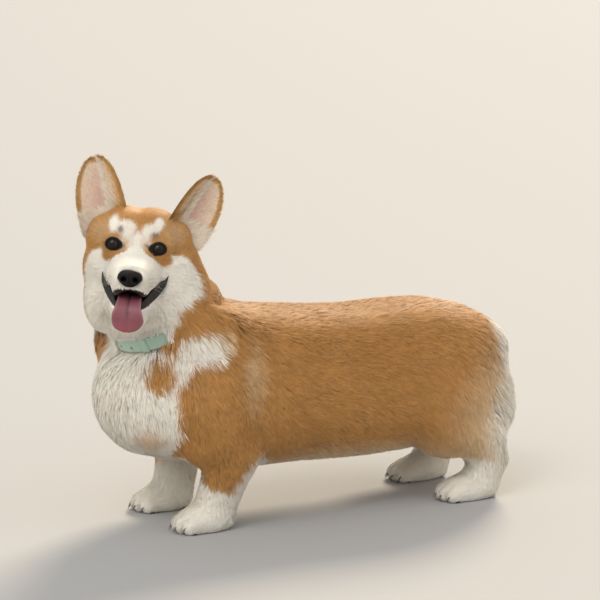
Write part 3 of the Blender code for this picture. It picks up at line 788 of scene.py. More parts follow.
def ear_shell(side, rows=40, columns=56):
    """The ear as a closed tube of rings: round each ring the sheet's place is cos(a), and the wall's half
    thickness times sign(sin a) |sin a|^0.6 lies along the way the ear faces."""
    height = EAR_LOW + (1 - EAR_LOW) * np.sin(np.linspace(0, 0.5 * np.pi, rows + 1)[:-1])
    h, angle = grid(height, circle(columns))
    place = np.cos(angle)
    wall = 0.5 * EAR_THICK * (0.55 + 0.45 * (1 - place**2)) * (1 - 0.4 * np.maximum(h, 0))
    co = ear_sheet(side, place, h) + ear_axes(side)[2] * (wall * bent(np.sin(angle), 0.6))[..., None]
    ends = [ear_sheet(side, np.array([0.0]), np.array([t]))[0] for t in (EAR_LOW, 1.0)]
    co, faces = closed_tube(co, ends)
    shell = outward(mesh_from("ear", from_head(co), faces))
    return points_of(shell), triangles_of(shell)


def ear_faces(side):
    """Which of the skin's triangles are that ear's."""
    first = SKIN_COUNTS[0] + (0 if side > 0 else SKIN_COUNTS[1])
    return slice(first, first + SKIN_COUNTS[1])


# Eyes: the opening of the lids in degrees about the eye's centre, and how far from it in mm they reach
LID_OUTER = 41.0
LID_INNER = 47.0
LID_UP = 36.0
LID_DOWN = 34.0
EYE_TURN_OUT = 8.0
EYE_TURN_UP = 6.0
LID_RADIUS = 11.3
SOCKET_RADIUS = 8.4
LID_REACH = 15.0
EYE_REACH = 19.0


def eye_axes(side):
    """Columns: across to the outer corner, up, and forward out of the eye, in the model's frame."""
    outwards, up = math.radians(EYE_TURN_OUT), math.radians(EYE_TURN_UP)
    forward = unit(np.array((side * math.sin(outwards), -math.cos(outwards), math.tan(up))))
    across = unit(np.cross((0.0, 0.0, 1.0), forward)) * side - (0.0, 0.0, 0.05)
    across = unit(across - forward * across.dot(forward))
    rise = np.cross(forward, across) * side
    return HEAD_AXES @ np.stack([across, rise, forward], axis=1)


def lid_measure(points, side):
    """Distance from the eye's centre, the opening's measure |across|^1.7 + |up|^2, 1 at the lid's edge,
    where across and up are angles as shares of the opening's own, and whether the point is in front."""
    local = (points - eye_centre(side)) / MM @ eye_axes(side)
    far = np.linalg.norm(local, axis=1)
    across = np.degrees(np.arctan2(local[:, 0], local[:, 2]))
    rise = np.degrees(np.arcsin(np.clip(local[:, 1] / np.maximum(far, 1e-6), -1, 1)))
    a = np.where(across > 0, across / LID_OUTER, across / LID_INNER)
    b = np.where(rise > 0, rise / LID_UP, rise / LID_DOWN)
    return far, np.abs(a) ** 1.7 + np.abs(b) ** 2, local[:, 2] > 0


def lid_edge(side, turns):
    """Places on the lid's edge for these angles round it, on a sphere of the lid's radius."""
    c, s = np.cos(turns), np.sin(turns)
    across = np.radians(np.where(c > 0, LID_OUTER, LID_INNER)) * bent(c, 2 / 1.7)
    rise = np.radians(np.where(s > 0, LID_UP, LID_DOWN)) * s
    flat = np.cos(rise)
    way = np.stack([np.sin(across) * flat, np.sin(rise), np.cos(across) * flat], axis=1)
    return way, eye_centre(side) + (way * LID_RADIUS * MM) @ eye_axes(side).T


def refined(mesh, chosen, cuts):
    """The mesh with the edges between chosen vertices cut finer."""
    bm = bmesh.new()
    bm.from_mesh(mesh)
    bm.verts.ensure_lookup_table()
    inside = set(np.flatnonzero(chosen).tolist())
    edges = [e for e in bm.edges if e.verts[0].index in inside and e.verts[1].index in inside]
    bmesh.ops.subdivide_edges(bm, edges=edges, cuts=cuts, use_grid_fill=True)
    bmesh.ops.triangulate(bm, faces=bm.faces)
    bm.to_mesh(mesh)
    bm.free()
    return mesh


def bedded_eyes(points):
    """The skin round each eye raised to a mound that slopes away from it: forward of the eye's centre by at
    least 6.5 - 0.5 (r - 9.5) at r mm from the eye's axis, fading out from 16 to 28 mm and behind the eye."""
    for side in (1, -1):
        axes = eye_axes(side)
        local = (points - eye_centre(side)) / MM @ axes
        r = np.hypot(local[:, 0], local[:, 1])
        lift = np.clip(6.5 - 0.5 * (r - 9.5) - local[:, 2], 0, 9) * fade(r, 16, 12)
        lift = lift * smooth(r, 7, 2.5) * smooth(local[:, 2], -14, 12)
        points = points + lift[:, None] * MM * axes[:, 2]
    return points


def open_lids(points):
    """Round each eye the skin is a lid on a sphere just outside the eyeball, and inside the opening it dips
    behind the eyeball."""
    for side in (1, -1):
        centre = eye_centre(side)
        far, q, front = lid_measure(points, side)
        lid = np.maximum(far, LID_RADIUS + 0.5 * smooth(q, 1, 1.5))
        wanted = np.where(q < 1.0, SOCKET_RADIUS, lid)
        blend = np.where(q < 1.0, 1.0, fade(q, 3.0, 2.0))
        new_far = far * (1 - blend) + wanted * blend
        moved = centre + (points - centre) * (new_far / np.maximum(far, 1e-6))[:, None]
        points = np.where((front & (far < EYE_REACH))[:, None], moved, points)
    return points


def hung_flews(points):
    """The upper lip's edge lowered by 9 exp(-((|x| - 17) / 8.5)^2 - ((y + 50) / 24)^2) beside the tongue
    and by 5.5 exp(-((|x| - 29) / 7)^2 - ((y + 25) / 14)^2) farther back, where it also swells outwards by
    3 of the same; both fade above the edge and away from the lower jaw."""
    x, y, z = to_head(points).T
    front = bell((np.abs(x) - 17) / 8.5, (y + 50) / 24)
    back = bell((np.abs(x) - 29) / 7, (y + 25) / 14)
    edge = fade(-z, 50, 4)
    drop = (9.0 * front + 5.5 * back) * smooth(-z, 30, 14) * edge
    swell = 3.0 * back * smooth(-z, 22, 14) * edge * np.sign(x)
    return points + (swell[:, None] * HEAD_AXES[:, 0] - drop[:, None] * HEAD_AXES[:, 2]) * MM


def parted_toes(points, normals):
    """Points near a gap pulled in by 3.4 exp(-(across / 2.4)^2 - (along / 13)^2 - (up / 12)^2)."""
    body = to_body(points)
    depth = np.zeros(len(points))
    for middle in toe_gaps(1) + toe_gaps(-1):
        depth = np.maximum(depth, 3.4 * bell(*((body - middle) / (2.4, 13.0, 12.0)).T))
    return points - normals * depth[:, None] * MM


def whole_skin():
    """The inset skin, cut finer round the eyes where the lids are opened, with both ears, as triangles."""
    mesh = inset_skin()
    co = bedded_eyes(parted_toes(hung_flews(points_of(mesh)), normals_of(mesh)))
    co = relax(co, edges_of(mesh), 1)
    set_points(mesh, co)
    close = [np.linalg.norm(co - eye_centre(side), axis=1) < EYE_REACH * MM for side in (1, -1)]
    mesh = refined(mesh, close[0] | close[1], 3)
    parts = [(open_lids(points_of(mesh)), triangles_of(mesh))]
    parts += [ear_shell(side) for side in (1, -1)]
    return joined(parts), [len(part[1]) for part in parts]


def skin_colour(points):
    """The coat's markings, black round the eyes, and in the mouth its dark lining darkened to near black as
    painted shade.
    """
    colour = np.clip(coat_colour(points) * 1.03, 0, 0.95)
    for side in (1, -1):
        far, q, front = lid_measure(points, side)
        colour = mixed(colour, PAINTS["black"], fade(q, 1.5, 0.5) * (far < LID_REACH) * front)
    colour[in_mouth(points, 3.2)] = PAINTS["mouth"]
    return colour


def under_lip(points, normals):
    """True on the down-facing inner side of the upper lip."""
    return in_mouth(points, 8.0) & (normals @ HEAD_AXES[:, 2] < -0.55) & (to_head(points)[:, 2] > -58)


def ear_place(points, side):
    """Across and along the ear for each point, as shares of its half width and of its height."""
    base, rise, _, across = ear_axes(side)
    local = to_head(points) - base
    height = local @ rise / rise.dot(rise)
    flat = (local - rise * height[:, None]) @ across
    return (flat - ear_sway(side, height)) / np.maximum(ear_half(height), 2.0), height


def ear_skin_colour(points, side, inner):
    """Red behind; in front pink in the hollow, cream towards the edges, and a red rim."""
    place, height = ear_place(points, side)
    pink = 0.75 * bell((place - 0.05 * side) / 0.42, (height - 0.45) / 0.42)
    rim = np.clip(smooth(np.abs(place), 0.80, 0.16) + smooth(height, 0.90, 0.08), 0, 1)
    front = mixed(mixed(np.array(PAINTS["ear_fuzz"]), PAINTS["ear_pink"], pink), PAINTS["red"], rim)
    return np.where(inner[:, None], front, np.array(PAINTS["red"]) * 0.9)


def paint_skin(mesh):
    co, normals = points_of(mesh), normals_of(mesh)
    colour = skin_colour(co)
    # painted shade: the down-facing inner side of the upper lip takes the mouth's near-black
    colour[under_lip(co, normals)] = PAINTS["mouth"]
    for side in (1, -1):
        own = np.unique(triangles_of(mesh)[ear_faces(side)])
        inner = normals[own] @ (HEAD_AXES @ ear_axes(side)[2]) > INNER_FACE
        colour[own] = ear_skin_colour(co[own], side, inner)
    paint_mesh(mesh, "coat_colour", colour)


def spread_uv(obj):
    """An unwrap of the skin's own shape into flat islands, in a map that its coat's roots also use."""
    obj.data.uv_layers.new(name="OFBake")
    bpy.context.view_layer.objects.active = obj
    obj.select_set(True)
    bpy.ops.object.mode_set(mode="EDIT")
    bpy.ops.mesh.select_all(action="SELECT")
    bpy.ops.uv.smart_project(angle_limit=math.radians(66), island_margin=0.003)
    bpy.ops.object.mode_set(mode="OBJECT")
    obj.select_set(False)


skin_mesh, SKIN_COUNTS = whole_skin()
skin_mesh.name = "skin"
paint_skin(skin_mesh)
skin_made = material("skin_and_undercoat", 0.75, {"Specular IOR Level": 0.25}, "coat_colour")
skin = object_from("skin", skin_mesh, skin_made)
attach(skin, "root")
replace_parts(skin, *FLESH, "ear_left", "ear_right")
spread_uv(skin)


# The coat


def on_lids(points, most):
    """True where the lid's measure is under this, in front of either eye."""
    found = np.zeros(len(points), bool)
    for side in (1, -1):
        far, q, front = lid_measure(points, side)
        found |= (q < most) & (far < LID_REACH) & front
    return found


def collar_shows(points):
    """How much, from 0 to 1, a point is at the collar's front, where the ruff leaves the band in sight."""
    local, share = collar_local(points)
    return window(around_collar(points)) * (share < 1.6) * (np.abs(local[:, 2]) < 60)


def under_collar(points):
    """True beneath the part of the collar's band that shows."""
    local, share = collar_local(points)
    return (np.abs(local[:, 2]) < COLLAR_HEIGHT * 0.5 + 1) & (share < 1.3) & (collar_shows(points) > 0.5)


def cut_above_collar(root, mid, tip, rng):
    """Hair rooted above the band's visible part ends near the band's upper edge."""
    start, end = collar_local(root)[0][:, 2], collar_local(tip)[0][:, 2]
    limit = COLLAR_HEIGHT * 0.5 + rng.normal(size=len(root)) * 2.0
    reach = (start > limit) & (end < limit) & (collar_shows(tip) > 0.5)
    share = np.where(reach, (start - limit) / np.maximum(start - end, 0.1), 1.0)
    share = np.clip(share, 0.08, 1.0)[:, None]
    return root + (mid - root) * share, root + (tip - root) * share


def bare(points):
    """Where no hair grows: the mouth, the eyes, the nose pad, under the collar and the soles."""
    head = to_head(points)
    nose = np.linalg.norm((head - (0, -76, -28.5)) / (15.5, 12.0, 11.5), axis=1) < 1.0
    sole = points[:, 2] < 1.5 * MM
    return in_mouth(points, 2.2) | on_lids(points, 1.38) | nose | under_collar(points) | sole


def settled(points, surface, gap):
    """Each point moved to the nearest place of the surface and gap above it, by a Shrinkwrap on a cloud."""
    mesh = bpy.data.meshes.new("cloud")
    mesh.vertices.add(len(points))
    set_points(mesh, points)
    cloud = object_from("cloud", mesh)
    wrap = cloud.modifiers.new("wrap", "SHRINKWRAP")
    wrap.target = surface
    wrap.wrap_method = "NEAREST_SURFACEPOINT"
    wrap.wrap_mode = "ABOVE_SURFACE"
    wrap.offset = gap
    moved = applied(cloud)
    co = points_of(moved)
    bpy.data.objects.remove(cloud)
    bpy.data.meshes.remove(moved)
    return co


def on_surface(points, surface):
    """The nearest places of the surface and its normals there, from two gaps above it."""
    near, above = settled(points, surface, 0.0), settled(points, surface, 2 * MM)
    return near, unit(above - near)


def scattered(mesh, total, rng, faces, density):
    """Roots over these faces, as many for each as its area times its density, with normal and map place."""
    co, normals, tri = points_of(mesh), normals_of(mesh), triangles_of(mesh)[faces]
    loops = read_from(mesh.loop_triangles, "loops", 3, np.int32)[faces]
    uv = read_from(mesh.uv_layers["OFBake"].data, "uv", 2)[loops]
    corners = co[tri]
    area = np.linalg.norm(np.cross(corners[:, 1] - corners[:, 0], corners[:, 2] - corners[:, 0]), axis=1)
    share = np.cumsum(area * density[tri].min(axis=1))
    face = np.searchsorted(share, (np.arange(total) + rng.random(total)) / total * share[-1])
    face = np.minimum(face, len(tri) - 1)
    a, b = np.sqrt(rng.random(total)), rng.random(total)
    weight = np.stack([1 - a, a * (1 - b), a * b], axis=1)[:, :, None]
    root = (co[tri[face]] * weight).sum(axis=1)
    normal = unit((normals[tri[face]] * weight).sum(axis=1))
    return root, normal, (uv[face] * weight).sum(axis=1)


def clumps_of(points, length):
    """A clump number for each tuft: cells of a warped grid whose pitch goes by doublings of 1.5 mm."""
    level = np.clip(np.round(np.log2(length * 0.15 / 1.5)), 0, 2)
    pitch = 1.5 * MM * 2.0**level
    warp = np.stack([ripple(points, 9 * MM, 60 + k) for k in range(3)], axis=1)
    cell = np.floor((points @ turn(0, 31) @ turn(2, 17)) / pitch[:, None] + 0.7 * warp).astype(np.int64)
    key = cell @ np.array((73856093, 19349663, 83492791)) + level.astype(np.int64) * 7919
    return np.unique(key, return_inverse=True)[1]


def clump_mean(values, clump):
    number = np.bincount(clump).astype(float)
    sums = [np.bincount(clump, values[:, k]) / number for k in range(values.shape[1])]
    return np.stack(sums, axis=1)[clump]


def per_clump(clump, rng):
    """A normal random number for each clump, given to each of its tufts."""
    return rng.normal(size=clump.max() + 1)[clump]


def spun(direction, normal, degrees):
    """The direction turned about the normal by these angles."""
    a = np.radians(degrees)[:, None]
    return direction * np.cos(a) + np.cross(normal, direction) * np.sin(a)


def flat_to(normal, direction):
    return unit(direction - normal * (normal * direction).sum(axis=1, keepdims=True))


def tuft_colours(root, clump, rng):
    """The marking at the root, read from a slightly ragged place, with each clump and tuft a little
    lighter or darker, and redder or paler."""
    count = len(root)
    ragged = np.stack([ripple(root, 10 * MM, 70 + k) for k in range(3)], axis=1)
    face = fade(np.linalg.norm(to_head(root), axis=1), 70, 40)[:, None]
    place = root + ragged * MM * (2.6 - 1.9 * face) + rng.normal(size=(count, 3)) * MM * (1.3 - 0.8 * face)
    colour = coat_colour(place)
    pale = (colour[:, 2] - PAINTS["red"][2]) / (PAINTS["white"][2] - PAINTS["red"][2])
    tone = 1.0 + (0.07 - 0.04 * pale) * per_clump(clump, rng)
    tone = tone + (0.08 - 0.05 * pale) * rng.normal(size=count) + 0.05 * ripple(root, 40 * MM, 80)
    warm = 1.0 + (0.05 - 0.03 * pale) * rng.normal(size=count)
    colour = colour * np.clip(tone, 0.6, 1.35)[:, None]
    colour[:, 0] *= warm
    colour[:, 2] /= warm**2
    return np.clip(colour, 0.0, 0.95), np.clip(pale, 0.0, 1.0)[:, None]


def paired(left, right):
    """Left and right places in turn along each blade, and at its tip the left one alone."""
    pairs = np.stack([left[:, :-1], right[:, :-1]], axis=2).reshape(len(left), -1, left.shape[-1])
    return np.concatenate([pairs, left[:, -1:]], axis=1)


def blade_faces(count, steps):
    """Triangles of this many blades whose points are paired up to the tip."""
    per = 2 * steps + 1
    quads = [(2 * k, 2 * k + 1, 2 * k + 3, 2 * k + 2) for k in range(steps - 1)]
    one = [t for a, b, c, d in quads for t in ((a, b, c), (a, c, d))] + [(per - 3, per - 2, per - 1)]
    return (np.arange(count)[:, None, None] * per + np.array(one)[None]).reshape(-1, 3)


def tuft_mesh(name, line, normals, side, width, colour, pale, uv, steps):
    """Thin blades. Each follows the curve through its root, middle and tip, narrows to nothing at the tip,
    and darkens towards the root as painted shade for the depth of the coat, a little lighter at the tip.
    line and normals hold root, middle and tip."""
    s = np.array((0.0, 0.5, 1.0) if steps == 2 else (0.0, 0.36, 0.7, 1.0))
    wide = np.array((0.75, 1.0, 0.0) if steps == 2 else (0.7, 1.0, 0.8, 0.0))
    first, second, third = (1 - s) * (1 - 2 * s), 4 * s * (1 - s), s * (2 * s - 1)
    middle = sum(p[:, None] * w[None, :, None] for p, w in zip(line, (first, second, third)))
    skin_normal = unit(sum(p[:, None] * w[None, :, None] for p, w in zip(normals, (1 - s, 0 * s, s))))
    half = 0.5 * width[:, None, None] * wide[None, :, None] * side[:, None, :]
    along = np.gradient(middle, axis=1)
    blade_normal = unit(np.cross(np.broadcast_to(side[:, None, :], along.shape), along))
    shading = unit(0.8 * skin_normal + 0.2 * blade_normal)
    # painted shade: darker at the root where the coat's depth shades it, a little lighter at the tip
    shade = (0.76 + 0.26 * pale) * (1 - s) ** 1.5 + (1.0 + 0.06 * (1 - pale)) * (1 - (1 - s) ** 1.5)
    root_shaded_colour = colour[:, None, :] * shade[:, :, None]
    patch = uv[:, None, :] + PATCH * np.stack([np.zeros_like(s), s - 0.5], axis=1)[None]
    wing = np.array((0.5 * PATCH, 0.0))
    places = paired(patch - wing, patch + wing)
    places[:, -1] = patch[:, -1]
    faces = blade_faces(len(width), steps)
    mesh = mesh_from(name, paired(middle - half, middle + half).reshape(-1, 3), faces)
    paint_mesh(mesh, "coat_colour", np.clip(paired(root_shaded_colour, root_shaded_colour), 0.0, 0.97).reshape(-1, 3))
    layer = mesh.uv_layers.new(name="OFBake")
    layer.data.foreach_set("uv", places.reshape(-1, 2)[faces.ravel()].astype(np.float32).ravel())
    mesh.normals_split_custom_set_from_vertices(paired(shading, shading).reshape(-1, 3))
    return mesh


COAT_SOCKETS = {"Specular IOR Level": 0.25, "Sheen Weight": 0.1, "Sheen Roughness": 0.4}
coat_made = material("coat", 0.6, COAT_SOCKETS, "coat_colour")


def clear_of_lids(points, lie):
    """The lie near each eye turned away from it, by up to 1.5 of a unit away from the eye's centre."""
    for side in (1, -1):
        far, q, _ = lid_measure(points, side)
        near = 1.5 * fade(q, 1.3, 2.2) * (far < EYE_REACH)
        lie = lie + near[:, None] * unit(points - eye_centre(side))
    return unit(lie)


def region_of(root):
    """The name of the coat piece for each root."""
    head, body = to_head(root), to_body(root)
    name = np.full(len(root), "coat_trunk_left", dtype=object)
    name[body[:, 0] < 0] = "coat_trunk_right"
    name[body[:, 1] > 150] = "coat_rump"
    name[(body[:, 1] < -85) & (body[:, 2] < 400)] = "coat_chest"
    near = np.linalg.norm((head - (0, 40, -45)) / (100, 100, 90), axis=1) < 1.0
    name[near] = "coat_ruff"
    name[near & (head[:, 1] < 26) & (head[:, 2] > -62)] = "coat_face"
    name[body[:, 2] < 92] = "coat_legs"
    return name


def over_collar(points, rng):
    """Points in the collar's band moved out to 1 to 4 mm beyond its outer face."""
    local, share = collar_local(points)
    inside = (np.abs(local[:, 2]) < COLLAR_HEIGHT * 0.5 + 3) & (share > 0.85)
    wanted = 1 + (COLLAR_THICK + rng.uniform(1.0, 4.0, len(points))) / 67
    grow = np.where(inside & (share < wanted), wanted / np.maximum(share, 0.1), 1.0)
    local[:, :2] *= grow[:, None]
    return from_collar(local)


def on_band(points):
    """True for points on the part of the collar's band that shows."""
    local, share = collar_local(points)
    return (np.abs(local[:, 2]) < COLLAR_HEIGHT * 0.5 - 0.5) & (share < 1.5) & (collar_shows(points) > 0.3)


def make_pieces(region, size, line, normals, *rest):
    """Coat pieces by region and length of hair, each under 200,000 triangles. Tufts of no region are left
    out. The rest are each tuft's side, width, colour, paleness and place in the map."""
    for name in sorted(set(region) - {""}):
        for kind, steps, wanted in (("short", 2, size < LONG_HAIR), ("long", 3, size >= LONG_HAIR)):
            chosen = np.flatnonzero((region == name) & wanted)
            limit = PIECE_TUFTS[kind]
            for k in range(0, len(chosen), limit):
                pick = chosen[k:k + limit]
                piece = f"{name}_{kind}_{k // limit + 1}"
                values = [value[pick] for value in rest]
                mesh = tuft_mesh(piece, [p[pick] for p in line], [n[pick] for n in normals], *values, steps)
                tufts = object_from(piece, mesh, coat_made)
                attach(tufts, "root")


def laid_down(surface, root, normal, lie, size, clump, rng):
    """Each tuft's direction, middle, tip and normals: from the root half a length along the lie, then the
    other half, each settled on the skin and lifted to its share of the coat's depth. The tufts of a clump
    turn together and draw together towards their tips."""
    total = len(root)
    depth = size[:, 0] * MM
    turned = per_clump(clump, rng) * CLUMP_TURN
    turned = turned + rng.normal(size=total) * TUFT_TURN + ripple(root, 55 * MM, 90) * WAVE_TURN
    clump_long = np.clip(1.0 + 0.12 * per_clump(clump, rng), 0.7, 1.3)
    length = size[:, 1] * MM * rng.uniform(0.75, 1.15, total) * clump_long
    start = spun(flat_to(normal, lie), normal, turned)
    mid, mid_normal = on_surface(root + start * length[:, None] * 0.5, surface)
    onward = spun(flat_to(mid_normal, lie), mid_normal, turned * 0.6)
    tip, tip_normal = on_surface(mid + onward * length[:, None] * 0.5, surface)
    lift = rng.uniform(0.7, 1.03, total) + (rng.random(total) > STRAYS_ABOVE) * 0.25
    mid = mid + mid_normal * (depth * (0.25 + 0.4 * lift))[:, None]
    tip = tip + tip_normal * (depth * lift)[:, None]
    tip = tip + TIP_CLUMPING * (clump_mean(tip, clump) - tip)
    mid = mid + MIDDLE_CLUMPING * (clump_mean(mid, clump) - mid)
    return start, mid, tip, (normal, mid_normal, tip_normal)


def grow_coat(surface, total):
    """Tufts over the body and head, kept off the part of the collar that shows and above the floor."""
    rng = np.random.default_rng(SEED)
    co = points_of(surface.data)
    density = coat_at(co)[1][:, 3] * ~bare(co) * ~under_lip(co, normals_of(surface.data))
    root, normal, uv = scattered(surface.data, total, rng, slice(0, SKIN_COUNTS[0]), density)
    lie, size = coat_at(root)
    lie = clear_of_lids(root, lie)
    clump = clumps_of(root, size[:, 1])
    start, mid, tip, normals = laid_down(surface, root, normal, lie, size, clump, rng)
    mid, tip = cut_above_collar(root, mid, tip, rng)
    mid, tip = over_collar(mid, rng), over_collar(tip, rng)
    for points in (mid, tip):
        points[:, 2] = np.maximum(points[:, 2], ABOVE_FLOOR)
    region = region_of(root)
    region[on_band(mid) | on_band(tip)] = ""
    base = root - normal * ROOT_BELOW
    side = spun(unit(np.cross(start, normal)), start, rng.normal(size=total) * 18)
    colour, pale = tuft_colours(root, clump, rng)
    width = size[:, 2] * MM * rng.uniform(0.8, 1.2, total)
    make_pieces(region, size[:, 1], (base, mid, tip), normals, side, width, colour, pale, uv)


def ear_tuft_colours(root, side, inner, edge, long, clump, rng):
    """The ear's own colours, the long hair pale, and gold along the edge and towards the head: on the edge a
    painted glow of the light from behind over the hair's own gold-brown, and near the head a painted lift of
    the shade there.
    """
    total = len(root)
    place, height = ear_place(root, side)
    colour = ear_skin_colour(root, side, inner)
    pale = smooth(colour[:, 2:3], 0.12, 0.3)
    # the gold on the edge is partly the hair's own gold-brown and partly a painted glow of the light from
    # behind
    tan = (edge > 0.6) & (rng.random(total) < 0.75)
    ragged = place * -side + rng.normal(size=total) * 0.08
    near_head = inner & (ragged > 0.66 - 0.5 * np.clip(0.3 - height, 0, 1))
    colour[long] = PAINTS["ear_hair"]
    # painted light: gold near the head lifts the shade of the tufts there
    colour[(tan & ~long) | near_head] = PAINTS["gold"]
    tone = 1 + 0.10 * rng.normal(size=total) + 0.06 * per_clump(clump, rng)
    return np.clip(colour * np.clip(tone, 0.6, 1.4)[:, None], 0, 0.95), pale


def grow_ear(surface, side, total):
    """Short hair up the back of the ear and over its edges, fuzz on its inner face, and long pale hair
    from the edge nearer the head across the hollow."""
    rng = np.random.default_rng(SEED + 5 + side)
    co = points_of(surface.data)
    _, rise, facing, across = ear_axes(side)
    facing, rise, across = HEAD_AXES @ facing, HEAD_AXES @ unit(rise), HEAD_AXES @ across
    fewer_inside = np.where(normals_of(surface.data) @ facing > INNER_FACE, 0.75, 1.0)
    density = (ear_place(co, side)[1] > -0.02) * fewer_inside
    root, normal, uv = scattered(surface.data, total, rng, ear_faces(side), density)
    place, height = ear_place(root, side)
    inner = normal @ facing > INNER_FACE
    edge = np.clip(smooth(np.abs(place), 0.72, 0.2) + smooth(height, 0.86, 0.1), 0, 1)
    toward_head = place * -side
    inward = inner & (toward_head > 0.25) & (toward_head < 0.62) & (rng.random(total) < 0.5)
    low = inner & (height < 0.3)
    long = inward | (low & (rng.random(total) < 0.5))
    out = np.clip(place * 2.2, -1, 1) * (0.25 + 0.9 * edge)
    lie = rise[None] + across[None] * out[:, None]
    lie[long] = rise[None] * 0.8 + across[None] * side * 0.55 + facing[None] * 0.25
    start = flat_to(normal, unit(lie + 0.14 * rng.normal(size=(total, 3))))
    length = np.where(inner, 4.0, 6.5) * rng.uniform(0.8, 1.2, total)
    length = np.where(long, rng.uniform(11, 19, total) * (1 - 0.45 * np.clip(height, 0, 1)), length) * MM
    lift = np.where(long, 0.26, np.where(edge > 0.5, 0.2, 0.09)) * length
    clump = clumps_of(root, np.full(total, EAR_HAIR))
    mid = root + start * length[:, None] * 0.5 + normal * lift[:, None] * 0.7
    tip = root + start * length[:, None] * 0.96 + normal * lift[:, None]
    tip = tip + 0.5 * (clump_mean(tip, clump) - tip)
    blade = spun(unit(np.cross(start, normal)), start, rng.normal(size=total) * 14)
    colour, pale = ear_tuft_colours(root, side, inner, edge, long, clump, rng)
    width = np.where(long, 0.55, np.where(inner, 0.38, 0.5)) * MM * rng.uniform(0.8, 1.2, total)
    name = np.full(total, "coat_ear_left" if side > 0 else "coat_ear_right", dtype=object)
    line = (root - normal * 0.3 * MM, mid, tip)
    make_pieces(name, np.full(total, EAR_HAIR), line, [normal] * 3, blade, width, colour, pale, uv)


grow_coat(skin, COAT_TOTAL)
for ear_side in (1, -1):
    grow_ear(skin, ear_side, COAT_TOTAL // 18)


# The eyes

PUPIL = (0.003, 0.003, 0.003)
EYE_WHITE = (0.30, 0.22, 0.18)


def eye_paint(angle, turns):
    """Colours by the angle from the pupil's middle: pupil, brown iris with fine spokes, dark ring, white."""
    spokes = 0.5 + 0.5 * np.sin(turns * 47 + 3 * np.sin(turns * 9))
    iris = np.array((0.024, 0.014, 0.010)) * (0.65 + 0.6 * spokes[..., None])
    iris = iris * (0.6 + 0.8 * smooth(angle, 16, 12))[..., None]
    colour = np.where((angle < 15)[..., None], PUPIL, iris)
    colour = mixed(colour, (0.006, 0.004, 0.004), smooth(angle, 33, 4))
    return mixed(colour, EYE_WHITE, smooth(angle, 42, 5))


def build_eye(name, side, made, rings=72, columns=96):
    """A ball whose pole is the pupil: its radius is 10.25 + 0.45 exp(-(angle / 26)^2) for the cornea."""
    p, t = grid(np.linspace(0, 180, rings + 1)[1:-1], circle(columns))
    radius = EYE_RADIUS - 0.25 + 0.45 * bell(p / 26)
    poles = [(0, 0, EYE_RADIUS + 0.2), (0, 0, -EYE_RADIUS + 0.25)]
    co, faces = closed_tube(away(np.radians(p), t) * radius[..., None], poles)
    mesh = mesh_from(name, eye_centre(side) + co * MM @ eye_axes(side).T, faces)
    paint_mesh(mesh, "eye_colour", np.concatenate([eye_paint(p, t).reshape(-1, 3), [PUPIL, EYE_WHITE]]))
    eye = add_piece(name, mesh, made)
    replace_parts(eye, "eye_left" if side > 0 else "eye_right")


TUBE_SIDES = 12


def ring_tube(name, path, normal, radii, made, closed=True):
    """A tube along a path: round each place, cos(a) times the first radius lies across the path and the
    surface's normal, and sin(a) times the second along the normal."""
    along = np.roll(path, -1, axis=0) - np.roll(path, 1, axis=0) if closed else np.gradient(path, axis=0)
    across = unit(np.cross(unit(along), normal))
    a = circle(TUBE_SIDES)
    radii = np.broadcast_to(np.asarray(radii, float), (len(path), 2)) * MM
    ring = across[:, None] * (np.cos(a)[None, :, None] * radii[:, None, :1])
    ring = ring + normal[:, None] * (np.sin(a)[None, :, None] * radii[:, None, 1:])
    co, faces = closed_tube(path[:, None] + ring, [path[0], path[-1]])
    if closed:
        co = co[:-2]
        faces = halved(grid_faces(len(path) + 1, TUBE_SIDES) % len(co))
    add_piece(name, mesh_from(name, co, faces), made)


def build_eyes():
    gloss = {"Coat Weight": 0.42, "Coat Roughness": 0.05, "Specular IOR Level": 0.08}
    ball_made = material("eye", 0.35, gloss, "eye_colour")
    black = {"Base Color": (0.005, 0.004, 0.004, 1), "Specular IOR Level": 0.2}
    rim_made = material("eye_rim", 0.55, black, relief=("noise", 900, 0.0003, 1.0))
    turns = circle(96)
    for side, name in ((1, "left"), (-1, "right")):
        build_eye(f"eyeball_{name}", side, ball_made)
        way, path = lid_edge(side, turns)
        corner = np.abs(np.cos(turns)) ** 6
        radii = np.stack([1.45 + 0.5 * corner, 0.62 + 0.1 * corner], axis=1)
        ring_tube(f"eye_rim_{name}", path, way @ eye_axes(side).T, radii, rim_made)


build_eyes()


# The nose

NOSE_MIDDLE = (0.4, -78.5, -30.0)
NOSE_HALF = (14.4, 10.3)


